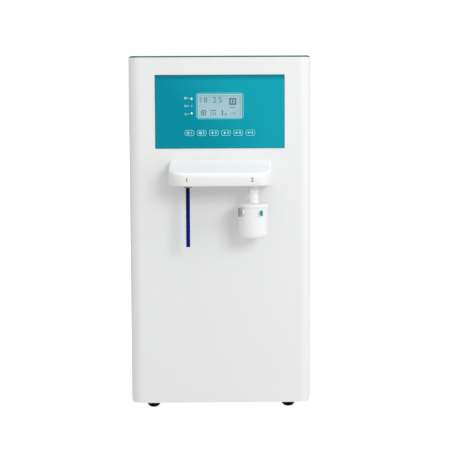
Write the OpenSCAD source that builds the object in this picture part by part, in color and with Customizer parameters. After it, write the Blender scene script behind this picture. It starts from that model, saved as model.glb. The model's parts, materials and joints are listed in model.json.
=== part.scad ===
// Bench ultrapure water system: cabinet, control panel, dispenser head with
// two outlets, and the pretreatment, reverse osmosis and polishing train inside.
// Front faces -Y, +Z is up, origin under the middle of the object on the floor.

/* [Cabinet] */
// Width of the cabinet
cab_w = 290; // [286:1:330]
// Depth of the cabinet from fascia to rear panel
cab_d = 420; // [416:1:480]
// Height of the cabinet without its feet
cab_h = 556; // [552:1:620]
// Plan radius of the upright front edges
plan_r = 18; // [10:1:24]
// Radius of the long edges at top and bottom
edge_r = 6; // [5:0.5:9]
// Wall of the moulded fascia
fascia_t = 3; // [2.5:0.25:3.5]
// Depth of the side walls of the fascia
fascia_d = 40; // [36:1:60]
// Thickness of the sheet metal
sheet_t = 1.5; // [1:0.1:1.8]
// Height of the top cover's edge above the fascia
lid_t = 2.4; // [2:0.1:3]

/* [Feet] */
// Diameter of a rubber foot
foot_d = 22.5; // [18:0.5:26]
// Clear height under the cabinet
foot_h = 12; // [9:0.5:20]
// Foot axis from the side of the cabinet
foot_in_x = 35; // [30:1:45]
// Foot axis from the front of the cabinet
foot_in_y = 30; // [29:1:40]

/* [Control panel] */
// Width of the membrane overlay
overlay_w = 205; // [180:1:230]
// Height of the membrane overlay
overlay_h = 116; // [106:1:124]
// Thickness of the membrane overlay
overlay_t = 1; // [0.8:0.1:1.2]
// Top of the overlay below the top of the cabinet
overlay_drop = 30; // [26:1:36]
// Width of the display window
window_w = 68; // [60:1:74]
// Height of the display window
window_h = 35; // [30:1:37]
// Middle of the display below the top of the cabinet
window_drop = 79; // [76:1:82]
// Width of a key
key_w = 16.2; // [13:0.1:17]
// Height of a key
key_h = 10.5; // [9:0.1:12]
// Distance from key to key
key_pitch = 19.3; // [19:0.1:21]
// Middle of the keys below the top of the cabinet
key_drop = 121.5; // [118:0.5:128]
// Travel of a key
key_travel = 0.5; // [0.3:0.05:0.8]
// Diameter of an indicator lamp
led_d = 3; // [2:0.1:3.4]
// Distance from lamp to lamp
led_pitch = 11.5; // [9:0.5:13]
// Lamps left of the middle
led_out = 44.7; // [43.5:0.1:48]

/* [Dispenser head] */
// Width of the head
head_w = 162; // [156:1:180]
// Reach of the head in front of the fascia
head_out = 66; // [62:1:80]
// Underside of the head below the top of the cabinet
head_drop = 203; // [196:1:210]
// Height of the upright front band
head_band = 19.5; // [18:0.5:26]
// Rise of the sloping top from front to fascia
head_rise = 19; // [14:1:26]
// Plan radius of the head's corners
head_r = 30; // [22:1:36]
// Wall of the head
head_t = 2.5; // [2:0.25:3]
// Outlets left and right of the middle
outlet_x = 51; // [50:0.5:54]
// Outlets in front of the fascia
outlet_y = 38; // [34:1:40]

/* [Outlet tube and capsule] */
// Outside diameter of the tubing
tube_d = 6.35; // [6:0.05:6.5]
// Bore of the tubing
tube_bore = 4.32; // [3.5:0.01:4.6]
// Free length of the outlet tube below the head
tube_drop = 96; // [60:1:150]
// Diameter of the filter capsule
capsule_d = 47.4; // [42:0.1:56]
// Height of the filter capsule without its socket
capsule_h = 58; // [50:1:80]
// Gap between head and capsule
capsule_gap = 28; // [22:1:40]
// Pleats of the capsule's filter
pleats = 36; // [24:1:48]

/* [Inside] */
// Diameter of a polishing cartridge
polish_d = 80; // [70:1:82]
// Height of the polishing cartridges
polish_h = 313; // [300:1:316]
// Diameter of the prefilter cartridge
prefilter_d = 70; // [60:1:80]
// Height of the prefilter cartridge
prefilter_h = 283; // [260:1:290]
// Diameter of the reverse osmosis housing
ro_d = 58; // [54:1:62]
// Diameter of the pump motor
motor_d = 60; // [50:1:64]
// Bend radius of the inner tubing
bend_r = 16; // [12:1:16]

/* [Fits] */
// Radial gap of a sliding tube in its collet
tube_play = 0.05; // [0.03:0.01:0.1]
// Gap around a key in its window
key_play = 0.3; // [0.2:0.05:0.4]
// Gap between neighbouring panels
seam = 0.3; // [0.2:0.05:0.5]
// Travel of a release collet
collet_travel = 1.2; // [0.8:0.1:1.5]

/* [Hidden] */
$fn = 64;
eps = 0.01;
far = 2000;

// Overall frame
port_out = 16;                    // rear fittings behind the rear panel
collet_ring = 1.4;                // thickness of a collet's ring
collet_l = 9;
collet_out = collet_ring + collet_travel + 0.1;
rear_out = port_out + collet_out;
front_y = (head_out - cab_d - rear_out) / 2;
back_y = front_y + cab_d;
top_z = foot_h + cab_h;
lid_z = top_z - lid_t;
tray_z = foot_h + 2 * sheet_t;    // upper face of the tray
side_x = cab_w / 2;
inner_x = side_x - sheet_t;
rail_y = 16;                      // fascia front to the frame behind it
flange = 16;                      // width of a sheet-metal flange

// Screws: M4 through the case, M3 on the boards
m4 = 4;
m3 = 3;
screw_play = 0.2;
tapped_play = 0.05;               // a tapped hole round its screw
fascia_screw_x = side_x - 25;
fascia_screw_low = foot_h + 22;
fascia_screw_top = lid_z - 26;

// Feet: a dome cut flat, with a recess for its screw
foot_r = foot_d / 2;
foot_sole_a = 27.4;               // angle of the dome at which the flat sole starts
foot_dome_h = foot_h * 2 / 3;
foot_recess_r = 4.2;
foot_recess_h = 4.5;

// Control panel, as depths behind the fascia's front face
overlay_sink = 0.6;
overlay_z = top_z - overlay_drop - overlay_h / 2;
window_z = top_z - window_drop;
key_z = top_z - key_drop;
key_count = 6;
key_row_w = (key_count - 1) * key_pitch + key_w;
key_r = 2.2;
board_y = 12;
board_t = 1.6;
board_w = 160;
board_h = 92;
board_z = (window_z + key_z) / 2 + 4;
board_hole_x = board_w / 2 - 8;
board_hole_z = board_h / 2 - 7;
bezel_w = window_w + 12;
bezel_h = window_h + 11;
glass_t = 1.2;
glass_sink = overlay_sink + 0.5;
key_flange = 1;
key_flange_t = 1;
switch_h = 5;
switch_button = 1.5;

// Dispenser head
head_z = top_z - head_drop;
slope = atan(head_rise / head_out);
crease_r = 5;
sole_r = 3;
corner_step = 11.25;
head_mouth = sole_r + 0.5;        // opening for the base plate, from the head's outline
base_t = 2.5;
base_rise = 1;
base_z = head_z + base_rise;
branch_z = head_z + 14;
head_screw_x = head_w / 2 - head_t - 4;
boss_l = 14;                      // screw bosses of the head
boss_r = 5;
head_screw_top = head_band + head_rise - boss_l * tan(slope) - boss_r - 1;
outlet_yy = front_y - outlet_y;
elbow_r = 7.5;
elbow_top = head_z + 21;
branch_r = 5.5;
branch_end = 12;
tube_r = tube_d / 2;
tube_in = 17;                     // a tube's depth in its fitting
tube_z = head_z - tube_drop;
collet_ring_r = 6.5;
collet_mouth_r = 5.05;
mouth_drop = 0.5;                 // fitting's face below the head
capsule_r = capsule_d / 2;
capsule_z = head_z - capsule_gap;
cap_flange_h = 6.2;
bowl_z = capsule_z - cap_flange_h;
bowl_h = capsule_h - cap_flange_h;
bowl_r = capsule_r - 0.5;
bowl_t = 1.8;
spigot_r = 6.2;
spigot_h = 3;
socket_top = 15;
vent_turn = -49;
vent_z = bowl_z - 6.2;
vent_stub = 2;
bleed_turn = 26;
bleed_z = bowl_z - 7.5;
bleed_stub = 1.6;
stub_bore_r = 1.3;

// Inside, as x, distance behind the fascia, z
stub_r = 6;
stub_out = 12;
port_in = 22;
port_y = cab_d - port_in - 2;
part_x = 4;
part_y0 = 36;
part_top = top_z - 48;
part_foot_y = [for (t = [2, 5]) t * cab_d / 7];
part_rear_z = [for (t = [2, 5]) tray_z + t * (part_top - tray_z) / 9];
valve_w = 30;
valve_l = 24;
valve_h = 26;
valve_y = fascia_t + valve_l + stub_out;
coil_d = 26;
coil_y = coil_d / 2 + 2;
coil_h = 28;
cell_l = 48;
cart_x = outlet_x;
cart_gap = 8;
port_gap = 14;                    // stubs in front of and behind a cartridge's axis
polish_front_y = valve_y + cell_l + bend_r + port_gap + 1;
polish_rear_y = polish_front_y + polish_d + cart_gap;
prefilter_y = polish_rear_y + (polish_d + prefilter_d) / 2 + cart_gap;
suction_y = prefilter_y + port_gap;
cart_top = tray_z + polish_h;
pre_top = tray_z + prefilter_h;
duct_z = cart_top + 24;
feed_level = pre_top + 42;
suction_level = feed_level + 25;
clip_z = tray_z + 0.6 * polish_h;
clip_h = 14;
clip_t = 2;
ro_x = side_x - 59;
ro_z = top_z - 148;
ro_y0 = 110;
ro_y1 = cab_d - 57;
ro_back = ro_y1 + stub_out;
ro_cap_y0 = ro_y0 - 16;
ro_dome = 12;
ro_wall = 4;
ro_core_gap = 6;                  // from the core's end to the wound membrane
ro_stub = 16;                     // permeate and brine stubs above and below the axis
ro_clip_y = [ro_y0 + 50, suction_y - clip_h - 9];
ro_front_y = ro_cap_y0 - stub_out - bend_r - 4;
ro_level = ro_z + 2 * bend_r + 3;
mani_step = 22;                   // from stub to stub of the manifold
mani_w = 24;
mani_l = 3 * mani_step + 6;
mani_x = part_x + sheet_t + mani_w / 2;
mani_y = polish_rear_y + port_gap + 2 * bend_r + 1 + mani_step;
mani_z = top_z - 98;
mani_top = mani_z + mani_w / 2 + stub_out;
mani_back = mani_y + mani_l / 2 + stub_out;
pump_x = -65;
pump_y = 130;
pump_z = foot_h + 63;
pump_head_w = 66;
pump_head_l = 55;
pump_stub = 16;
pump_stub_y = pump_y + 28;
pump_top = pump_z + pump_head_w / 2 + 14;
motor_l = 120;
pump_screw_x = 44;
pump_screw_y = [30, 130];
bracket_h = 6;
feed_x = 30 - side_x;
feed_z = tray_z + 16;
riser_y = prefilter_y - port_gap;
feed_valve_y = riser_y + bend_r + 4;
feed_valve_l = 42;
low_tee_z = (pump_top + suction_level) / 2;
high_tee_z = top_z - 90;
high_tee_y = 100;
tee_h = 14;
logic_y = 80;
logic_l = cab_d / 3;
logic_z = tray_z + 165;
logic_h = 120;
psu_w = 38;
psu_y0 = logic_y + logic_l + 10;
psu_y1 = cab_d - 40;
psu_z = tray_z + 145;
psu_h = 100;

// Rear
port_nut_r = 11.5;
port_nut_h = 6;
port_barrel_r = 8.5;
port_thread_r = 7.9;
port_hole_r = 8.2;
waste_x = ro_x;
waste_z = ro_z + ro_stub;
tank_x = mani_x;
tank_z = part_top;
inlet_x = -85;
inlet_z = top_z - 118;
inlet_w = 27;
inlet_h = 47;
inlet_flange = 2.5;
socket_w = 24;
socket_h = 16.5;
socket_z = inlet_z - 10;
socket_depth = 17;
pin_x = 7;                        // outer contact pins from the middle one
rocker_w = 19;
rocker_h = 13;
rocker_z = inlet_z + 13;
rocker_y = back_y - 3;
rocker_tilt = 9;
rocker_pin_r = 1.25;

// ---------------------------------------------------------------- helpers

module rounded(w, h, r) {
    square([w - 2 * r, h], center = true);
    square([w, h - 2 * r], center = true);
    for (sx = [-1, 1], sy = [-1, 1])
        translate([sx * (w / 2 - r), sy * (h / 2 - r)]) circle(r);
}

module slot(w, h) {
    square([w - h, h], center = true);
    for (s = [-1, 1]) translate([s * (w - h) / 2, 0]) circle(h / 2);
}

// Draws a profile in x and z, from y0 back to y1
module across(y0, y1) {
    translate([0, y1, 0]) rotate([90, 0, 0]) linear_extrude(y1 - y0) children();
}

// Draws a profile in y and z, from x0 to x1
module along(x0, x1) {
    translate([x0, 0, 0]) rotate([90, 0, 90]) linear_extrude(x1 - x0) children();
}

// A round bar along Y between two depths
module bar_y(x, z, r, y0, y1) {
    translate([x, y1, z]) rotate([90, 0, 0]) cylinder(r = r, h = y1 - y0);
}

module bar_z(x, y, r, z0, z1) {
    translate([x, y, z0]) cylinder(r = r, h = z1 - z0);
}

module block(x0, x1, y0, y1, z0, z1) {
    translate([x0, y0, z0]) cube([x1 - x0, y1 - y0, z1 - z0]);
}

// Outline of the cabinet seen from the front, drawn in by inset
module front_outline(inset) {
    translate([0, foot_h + cab_h / 2])
        rounded(cab_w - 2 * inset, cab_h - 2 * inset, edge_r - inset);
}

// Plan of the cabinet with its round front corners, drawn in by inset
module plan_outline(inset, depth) {
    r = plan_r - inset;
    x = side_x - inset;
    y = front_y + inset;
    for (s = [-1, 1]) translate([s * (x - r), y + r]) circle(r);
    translate([r - x, y]) square([2 * (x - r), 2 * r]);
    translate([-x, y + r]) square([2 * x, depth - inset - r]);
}

// ---------------------------------------------------------------- screws

// A pan-head screw that points along +Z, with its head's seat at z = 0
module screw(d, len) {
    rotate_extrude()
        polygon([[0, len], [d / 2 - 0.3, len], [d / 2, len - 0.5], [d / 2, 0], [d * 0.95, 0],
                 [d * 0.95, -0.35 * d], [d * 0.7, -0.6 * d], [0.5 * d, -0.6 * d],
                 [0.3 * d, -0.35 * d], [0, -0.35 * d]]);
}

module screw_hole(d, len) {
    translate([0, 0, -len]) cylinder(d = d + 2 * screw_play, h = 2 * len);
}

// Stations of the screws: side panels to tray, rear panel, fascia, feet
module at_tray_screws()
    for (s = [-1, 1], k = [0, 1, 2])
        translate([s * (side_x - edge_r - flange / 2), front_y + 70 + k * (cab_d - 110) / 2, foot_h])
            children();

module at_rear_screws()
    for (s = [-1, 1], k = [0, 1, 2])
        translate([s * (inner_x - flange / 2), back_y, foot_h + 40 + k * (cab_h - 80) / 2])
            rotate([90, 0, 0]) children();

module at_lid_screws()
    for (s = [-1, 1]) translate([s * 60, back_y, lid_z - 8]) rotate([90, 0, 0]) children();

module at_partition_screws()
    for (z = part_rear_z) translate([part_x - flange / 2, back_y, z]) rotate([90, 0, 0]) children();

module at_part_foot_screws()
    for (y = part_foot_y)
        translate([part_x - flange / 2, front_y + y, tray_z + sheet_t]) rotate([180, 0, 0]) children();

module at_tray_front_screws()
    for (s = [-1, 1])
        translate([s * fascia_screw_x, front_y + rail_y + sheet_t, fascia_screw_low])
            rotate([90, 0, 0]) children();

module at_bar_screws()
    for (s = [-1, 1])
        translate([s * fascia_screw_x, front_y + rail_y + sheet_t, fascia_screw_top])
            rotate([90, 0, 0]) children();

module at_bar_flange_screws()
    for (s = [-1, 1])
        translate([s * (side_x - edge_r - flange / 2), front_y + fascia_d + 10, lid_z - 2 * sheet_t])
            children();

module at_feet()
    for (sx = [-1, 1], y = [front_y + foot_in_y, back_y - foot_in_y])
        translate([sx * (side_x - foot_in_x), y, 0]) children();

module at_board_screws()
    for (sx = [-1, 1], sz = [-1, 1])
        translate([sx * board_hole_x, front_y + board_y + board_t, board_z + sz * board_hole_z])
            rotate([90, 0, 0]) children();

module at_head_screws() {
    for (s = [-1, 1])
        translate([s * head_screw_x, front_y + fascia_t, branch_z]) rotate([90, 0, 0]) children();
    translate([0, front_y + fascia_t, head_z + head_screw_top]) rotate([90, 0, 0]) children();
}

module at_pump_screws()
    for (s = [-1, 1], y = pump_screw_y)
        translate([pump_x + s * pump_screw_x, front_y + pump_y + y, tray_z + sheet_t + bracket_h])
            rotate([180, 0, 0]) children();

// ---------------------------------------------------------------- enclosure

module base_tray() color("silver") difference() {
    x = side_x - edge_r;
    y0 = front_y + rail_y;
    y1 = back_y - sheet_t - seam;
    z0 = tray_z - sheet_t;
    union() {
        block(-x, x, y0, y1, z0, tray_z);
        block(-x, x, y0, y0 + sheet_t, z0, z0 + 34);
        for (s = [-1, 1])
            translate([s * (x - sheet_t / 2), (y0 + y1 - flange) / 2, z0 + 10])
                cube([sheet_t, y1 - y0 - flange, 20], center = true);
    }
    at_tray_screws() screw_hole(m4, 12);
    at_tray_front_screws() screw_hole(m4, 12);
    at_feet() bar_z(0, 0, m4 / 2 + screw_play, 0, tray_z + 1);
    at_pump_screws() screw_hole(m4, 30);
    for (k = [-3:3])
        translate([0, front_y + cab_d / 2 + k * 12, z0 - 1]) linear_extrude(4) slot(60, 4);
    at_part_foot_screws() screw_hole(m4, 6);
}

module front_fascia() color("white") difference() {
    union() {
        difference() {
            intersection() {
                translate([0, 0, foot_h]) linear_extrude(lid_z - foot_h) plan_outline(0, fascia_d);
                across(front_y, front_y + fascia_d) front_outline(0);
            }
            intersection() {
                linear_extrude(far) plan_outline(fascia_t, fascia_d + 1);
                across(front_y, front_y + fascia_d + 1) difference() {
                    front_outline(fascia_t);
                    translate([-side_x, lid_z - fascia_t]) square([cab_w, far]);
                }
            }
            block(-side_x + edge_r, side_x - edge_r, front_y + rail_y - seam, front_y + fascia_d + 1,
                  foot_h - 1, foot_h + fascia_t + 1);
            block(-side_x + edge_r, side_x - edge_r, front_y + rail_y - seam, front_y + fascia_d + 1,
                  lid_z - fascia_t - 1, lid_z + 1);
        }
        for (s = [-1, 1], z = [fascia_screw_low, fascia_screw_top])
            bar_y(s * fascia_screw_x, z, 5, front_y + fascia_t - eps, front_y + rail_y);
        for (sx = [-1, 1], sz = [-1, 1])
            bar_y(sx * board_hole_x, board_z + sz * board_hole_z, 4,
                  front_y + fascia_t - eps, front_y + board_y);
    }
    // pocket and windows behind the membrane overlay
    across(front_y - 1, front_y + overlay_sink)
        translate([0, overlay_z]) rounded(overlay_w + 2 * seam, overlay_h + 2 * seam, 1);
    across(front_y - 1, front_y + fascia_t + 1) translate([0, window_z])
        square([bezel_w + 1, bezel_h + 1], center = true);
    across(front_y - 1, front_y + fascia_t + 1) translate([0, key_z])
        square([key_row_w + 2 * key_flange + 2, key_h + 2 * key_flange + 2], center = true);
    for (k = [-1:1])
        bar_y(-led_out, window_z + k * led_pitch, led_d / 2 + 0.2, front_y - 1, front_y + fascia_t + 1);
    // holes behind the dispenser head
    for (s = [-1, 1])
        bar_y(s * outlet_x, branch_z, branch_r + 1, front_y - 1, front_y + fascia_t + 1);
    at_head_screws() screw_hole(m4, 6);
    at_tray_front_screws() translate([0, 0, -1]) cylinder(d = m4 + 2 * tapped_play, h = 12);
    at_bar_screws() translate([0, 0, -1]) cylinder(d = m4 + 2 * tapped_play, h = 12);
    at_board_screws() translate([0, 0, -1]) cylinder(d = m3 + 2 * tapped_play, h = 9);
}

module top_cover() color("teal") difference() {
    skirt_x = side_x - edge_r - flange - 2;
    nose = lid_t - 0.4;
    union() {
        intersection() {
            translate([0, 0, lid_z]) linear_extrude(lid_t) plan_outline(0, cab_d);
            across(front_y, back_y) front_outline(0);
            along(-side_x, side_x) union() {
                translate([front_y + nose, top_z - nose]) circle(nose);
                translate([front_y, lid_z]) square([cab_d, lid_t - nose]);
                translate([front_y + nose, lid_z]) square([cab_d - nose, lid_t]);
            }
        }
        block(-skirt_x, skirt_x, back_y - 2 * sheet_t, back_y - sheet_t, lid_z - 14, lid_z + eps);
        // locating ribs that drop inside the flanges of the side panels
        for (s = [-1, 1])
            translate([s * skirt_x, 0, 0])
                block(-1, 1, front_y + 80, back_y - 30, lid_z - 5, lid_z + eps);
    }
    at_lid_screws() screw_hole(m4, 8);
}

// A folded side panel with its bent long edges, front joggle and rear flange
module side_panel(s) color("white") {
    y0 = front_y + fascia_d + seam;
    y1 = back_y - 2 * sheet_t - 1;
    in_x = side_x - fascia_t;
    flange_x = side_x - edge_r - flange;
    mirror([s < 0 ? 1 : 0, 0, 0]) difference() {
        union() {
            across(y0, back_y) intersection() {
                difference() {
                    front_outline(0);
                    front_outline(sheet_t);
                }
                translate([side_x - edge_r, 0]) square([edge_r, lid_z]);
            }
            // flanges under the cover and under the tray
            across(y0, y1) intersection() {
                front_outline(0);
                for (z = [foot_h, lid_z - sheet_t]) translate([flange_x, z]) square([2 * flange, sheet_t]);
            }
            block(inner_x - flange, inner_x + eps, back_y - 2 * sheet_t, back_y - sheet_t,
                  tray_z + 24, lid_z - 16);
            // joggled tongue inside the fascia
            block(in_x - sheet_t, side_x - sheet_t / 2, y0, y0 + sheet_t, foot_h + 30, lid_z - 20);
            block(in_x - sheet_t, in_x, y0 - 14, y0 + sheet_t, foot_h + 30, lid_z - 20);
        }
        at_tray_screws() screw_hole(m4, 6);
        at_rear_screws() screw_hole(m4, 6);
        at_bar_flange_screws() screw_hole(m4, 6);
        // upright air slots
        for (k = [0:7])
            translate([side_x, back_y - 60 - 10 * k, foot_h + 90]) rotate([90, 0, 90])
                linear_extrude(4 * sheet_t, center = true) rotate(90) slot(60, 3.5);
    }
}

module left_side_panel() side_panel(-1);
module right_side_panel() side_panel(1);

module rear_panel() color("whitesmoke") difference() {
    across(back_y - sheet_t, back_y) intersection() {
        front_outline(sheet_t + seam);
        translate([-side_x, 0]) square([cab_w, lid_z - seam]);
    }
    at_rear_screws() screw_hole(m4, 6);
    at_lid_screws() screw_hole(m4, 6);
    at_partition_screws() screw_hole(m4, 6);
    at_ports() translate([0, 0, -5]) cylinder(r = port_hole_r, h = 10);
    across(back_y - 5, back_y + 5) translate([inlet_x, inlet_z]) rounded(inlet_w + 0.6, inlet_h + 0.6, 2);
    // air slots
    for (k = [-4:4])
        across(back_y - 5, back_y + 5) translate([50 + 9 * k, top_z - 100]) rotate(90) slot(46, 3.5);
}

module front_crossbar() color("silver") difference() {
    x = side_x - edge_r;
    z1 = lid_z - sheet_t;
    union() {
        block(-x, x, front_y + rail_y, front_y + rail_y + sheet_t, lid_z - 44, z1);
        block(-x, x, front_y + rail_y, front_y + fascia_d + 24, z1 - sheet_t, z1);
    }
    at_bar_screws() screw_hole(m4, 8);
    at_bar_flange_screws() screw_hole(m4, 8);
}

module inner_partition() color("silver") difference() {
    y0 = front_y + part_y0;
    y1 = back_y - sheet_t;
    union() {
        block(part_x, part_x + sheet_t, y0, y1, tray_z, part_top);
        block(part_x - flange, part_x + eps, y0, y1, tray_z, tray_z + sheet_t);
        block(part_x - flange, part_x + eps, y1 - sheet_t, y1, tray_z + sheet_t, part_top);
    }
    at_partition_screws() screw_hole(m4, 8);
    at_part_foot_screws() screw_hole(m4, 6);
    // tube passages
    for (p = [[ro_front_y, ro_level], [riser_y, feed_level], [suction_y, suction_level]])
        translate([part_x - 1, front_y + p[0], p[1]]) rotate([0, 90, 0])
            cylinder(r = tube_r + 2, h = sheet_t + 2);
}

module rubber_feet() color("black") at_feet() difference() {
    rotate_extrude() polygon(concat(
        [[m4 / 2 + screw_play, 0]],
        [for (k = [0:5]) let (a = foot_sole_a + (90 - foot_sole_a) * k / 5)
            [foot_r * sin(a), foot_dome_h * (1 - cos(a) / cos(foot_sole_a))]],
        [[foot_r, foot_h - 1], [foot_r - 1, foot_h + sheet_t], [m4 / 2 + screw_play, foot_h + sheet_t]]));
    translate([0, 0, -1]) cylinder(r = foot_recess_r, h = foot_recess_h + 1);
}

module fasteners() color("gainsboro") {
    at_tray_screws() screw(m4, 8);
    at_rear_screws() screw(m4, 8);
    at_lid_screws() screw(m4, 8);
    at_partition_screws() screw(m4, 8);
    at_tray_front_screws() screw(m4, 10);
    at_bar_screws() screw(m4, 10);
    at_bar_flange_screws() screw(m4, 2 * sheet_t - 0.2);
    at_feet() translate([0, 0, foot_recess_h]) screw(m4, foot_h);
    at_board_screws() screw(m3, 7);
    at_head_screws() screw(m4, 10);
    at_pump_screws() screw(m4, 12);
    at_part_foot_screws() screw(m4, 6);
    // nuts of the ports
    at_ports() translate([0, 0, sheet_t]) difference() {
        cylinder(r = port_nut_r, h = 5, $fn = 6);
        translate([0, 0, -1]) cylinder(r = port_hole_r - 0.1, h = 7);
    }
}

// ---------------------------------------------------------------- control panel

function key_x(k) = (k - (key_count - 1) / 2) * key_pitch;

module control_overlay() color("darkcyan") across(front_y + overlay_sink - overlay_t, front_y + overlay_sink)
    difference() {
        translate([0, overlay_z]) rounded(overlay_w, overlay_h, 0.8);
        translate([0, window_z]) square([window_w, window_h], center = true);
        for (k = [0:key_count - 1])
            translate([key_x(k), key_z])
                rounded(key_w + 2 * key_play, key_h + 2 * key_play, key_r + key_play);
        for (k = [-1:1])
            translate([-led_out, window_z + k * led_pitch]) circle(led_d / 2 + 0.15);
    }

module lcd_bezel() color("dimgray") difference() {
    y0 = front_y + overlay_sink;
    across(y0, front_y + board_y) translate([0, window_z]) rounded(bezel_w, bezel_h, 1.5);
    across(y0 - 1, front_y + glass_sink + glass_t) translate([0, window_z])
        square([window_w + 4.4, window_h + 4.4], center = true);
    across(y0, y0 + 7) translate([0, window_z]) square([window_w + 1, window_h + 1], center = true);
}

module lcd_glass() color("lightblue")
    across(front_y + glass_sink, front_y + glass_sink + glass_t)
        translate([0, window_z]) square([window_w + 4, window_h + 4], center = true);

module display_board() color("seagreen") difference() {
    union() {
        across(front_y + board_y, front_y + board_y + board_t)
            translate([0, board_z]) rounded(board_w, board_h, 3);
        for (x = [-58, 46])
            block(x, x + 14, front_y + board_y + board_t, front_y + board_y + board_t + 6,
                  board_z - 5, board_z + 3);
        across(front_y + board_y + board_t - eps, front_y + board_y + board_t + 3)
            translate([0, board_z]) square([24, 24], center = true);
    }
    at_board_screws() screw_hole(m3, 8);
}

module status_leds() color("mistyrose") for (k = [-1:1])
    translate([-led_out, 0, window_z + k * led_pitch]) {
        bar_y(0, 0, led_d / 2, front_y + 0.2, front_y + board_y);
        bar_y(0, 0, led_d / 2 + 1, front_y + fascia_t + 1, front_y + board_y);
        translate([0, front_y + 0.2, 0]) rotate([90, 0, 0]) difference() {
            sphere(led_d / 2);
            translate([0, 0, -led_d]) cube(2 * led_d, center = true);
        }
    }

module key_switches() color("dimgray") for (k = [0:key_count - 1]) {
    across(front_y + board_y - switch_h + switch_button, front_y + board_y)
        translate([key_x(k), key_z]) square(6, center = true);
    bar_y(key_x(k), key_z, 1.75, front_y + board_y - switch_h, front_y + board_y - switch_h + switch_button);
}

// Key k: domed pad in the overlay, retaining flange behind it, stem to its switch
module key_pad(k) color("teal") translate([key_x(k), 0, key_z]) {
    y0 = front_y + overlay_sink - overlay_t;
    y1 = front_y + overlay_sink;
    across(y0 - 0.3, y0 + eps) rounded(key_w - 1, key_h - 1, key_r - 0.5);
    across(y0, y1 + 0.1) rounded(key_w, key_h, key_r);
    across(y1 + 0.05, y1 + 0.05 + key_flange_t)
        rounded(key_w + 2 * key_flange, key_h + 2 * key_flange, key_r + 0.3);
    bar_y(0, 0, 2.5, y1 + key_flange_t, front_y + board_y - switch_h - key_travel - 0.05);
}

module power_key() key_pad(0);
module menu_key() key_pad(1);
module down_key() key_pad(2);
module up_key() key_pad(3);
module back_key() key_pad(4);
module enter_key() key_pad(5);

// ---------------------------------------------------------------- dispenser head

// The head's own frame has the fascia's face at y = 0 and its underside at z = 0.
// Outline from above, drawn in by inset: from the fascia round both corners and back
function head_outline(inset) =
    let (r = head_r - inset, x = head_w / 2 - head_r, y = head_r - head_out)
    concat([[-x - r, 0]],
        [for (a = [180:corner_step:270]) [-x + r * cos(a), y + r * sin(a)]],
        [for (a = [270:corner_step:360]) [x + r * cos(a), y + r * sin(a)]],
        [[x + r, 0]]);

// One ring of that outline on a level z, or below the sloping top by drop
function level_ring(inset, z) = [for (p = head_outline(inset)) [p[0], p[1], z]];
function top_ring(inset, drop) =
    [for (p = head_outline(inset)) [p[0], p[1], head_band + (p[1] + head_out) * tan(slope) - drop]];

// A closed solid through rings of equally many points
module loft(rings) {
    n = len(rings[0]);
    m = len(rings);
    polyhedron(
        [for (ring = rings) each ring],
        concat([[for (k = [0:n - 1]) k]],
            [for (i = [0:m - 2], k = [0:n - 1])
                let (a = i * n + k, b = i * n + (k + 1) % n) each [[a, a + n, b + n], [a, b + n, b]]],
            [[for (k = [n - 1:-1:0]) (m - 1) * n + k]]),
        convexity = 4);
}

module head_outside() loft(concat(
    [for (a = [0:30:90]) level_ring(sole_r * (1 - sin(a)), sole_r * (1 - cos(a)))],
    [for (a = [0:22.5:90]) top_ring(crease_r * (1 - cos(a)), crease_r * (1 - sin(a)))]));

module head_inside() loft(concat(
    [level_ring(head_mouth, -1), level_ring(head_mouth, sole_r), level_ring(head_t, sole_r + 1)],
    [for (a = [0:30:90])
        top_ring(head_t + (crease_r - head_t / 2) * (1 - cos(a)),
                 head_t / cos(slope) + (crease_r - head_t / 2) * (1 - sin(a)))]));

module head_plan(inset) {
    r = head_r - inset;
    y = inset - head_out;
    for (s = [-1, 1]) translate([s * (head_w / 2 - head_r), y + r]) circle(r);
    translate([head_r - head_w / 2, y]) square([head_w - 2 * head_r, 2 * r]);
    translate([inset - head_w / 2, y + r]) square([head_w - 2 * inset, head_out - inset - r]);
}

// Shell with its bosses and the rests of the base plate, cut off at the fascia
module head_walls() difference() {
    union() {
        difference() {
            head_outside();
            head_inside();
        }
        for (s = [-1, 1]) {
            bar_y(s * head_screw_x, branch_z - head_z, 4.5, -boss_l, 0);
            translate([s * (head_w / 2 - head_t - 1.5), -head_out / 2, base_rise + base_t + 3])
                cube([4, 14, 6], center = true);
        }
        bar_y(0, head_screw_top, boss_r, -boss_l, 0);
    }
    block(-head_w, head_w, 0, boss_l, -1, head_w);
}

module head_shell() color("white") difference() {
    translate([0, front_y, head_z]) head_walls();
    at_head_screws() translate([0, 0, -1]) cylinder(d = m4 + 2 * tapped_play, h = 13);
}

module head_base() color("white") difference() {
    translate([0, front_y, base_z]) linear_extrude(base_t) head_plan(head_mouth + 0.2);
    for (s = [-1, 1]) translate([s * outlet_x, outlet_yy, head_z - 1]) cylinder(r = elbow_r + 0.2, h = 9);
}

// Elbow body in the head: flange on the base plate, branch back through the fascia
module elbow(neck_z) {
    bar_z(0, 0, elbow_r, neck_z, elbow_top);
    bar_z(0, 0, elbow_r + 2.5, base_z + base_t, base_z + base_t + 2);
    bar_y(0, branch_z, branch_r, 0, outlet_y - branch_end);
}

module ro_outlet_fitting() color("whitesmoke") translate([-outlet_x, outlet_yy, 0]) difference() {
    elbow(head_z - mouth_drop);
    bar_z(0, 0, tube_r + tube_play / 2, head_z - 1, head_z + tube_in);
    bar_z(0, 0, collet_mouth_r, head_z - 1, head_z - mouth_drop + collet_l - collet_ring + 0.3);
    bar_y(0, branch_z, tube_bore / 2, 0, outlet_y);
}

// Release collet that points along +Z with its ring at the bottom
module collet() rotate_extrude()
    polygon([[tube_r + tube_play, 0], [collet_ring_r - 0.4, 0], [collet_ring_r, 0.4],
             [collet_ring_r, collet_ring], [collet_mouth_r - 0.05, collet_ring],
             [collet_mouth_r - 0.05, collet_l], [tube_r + tube_play, collet_l]]);

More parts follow.
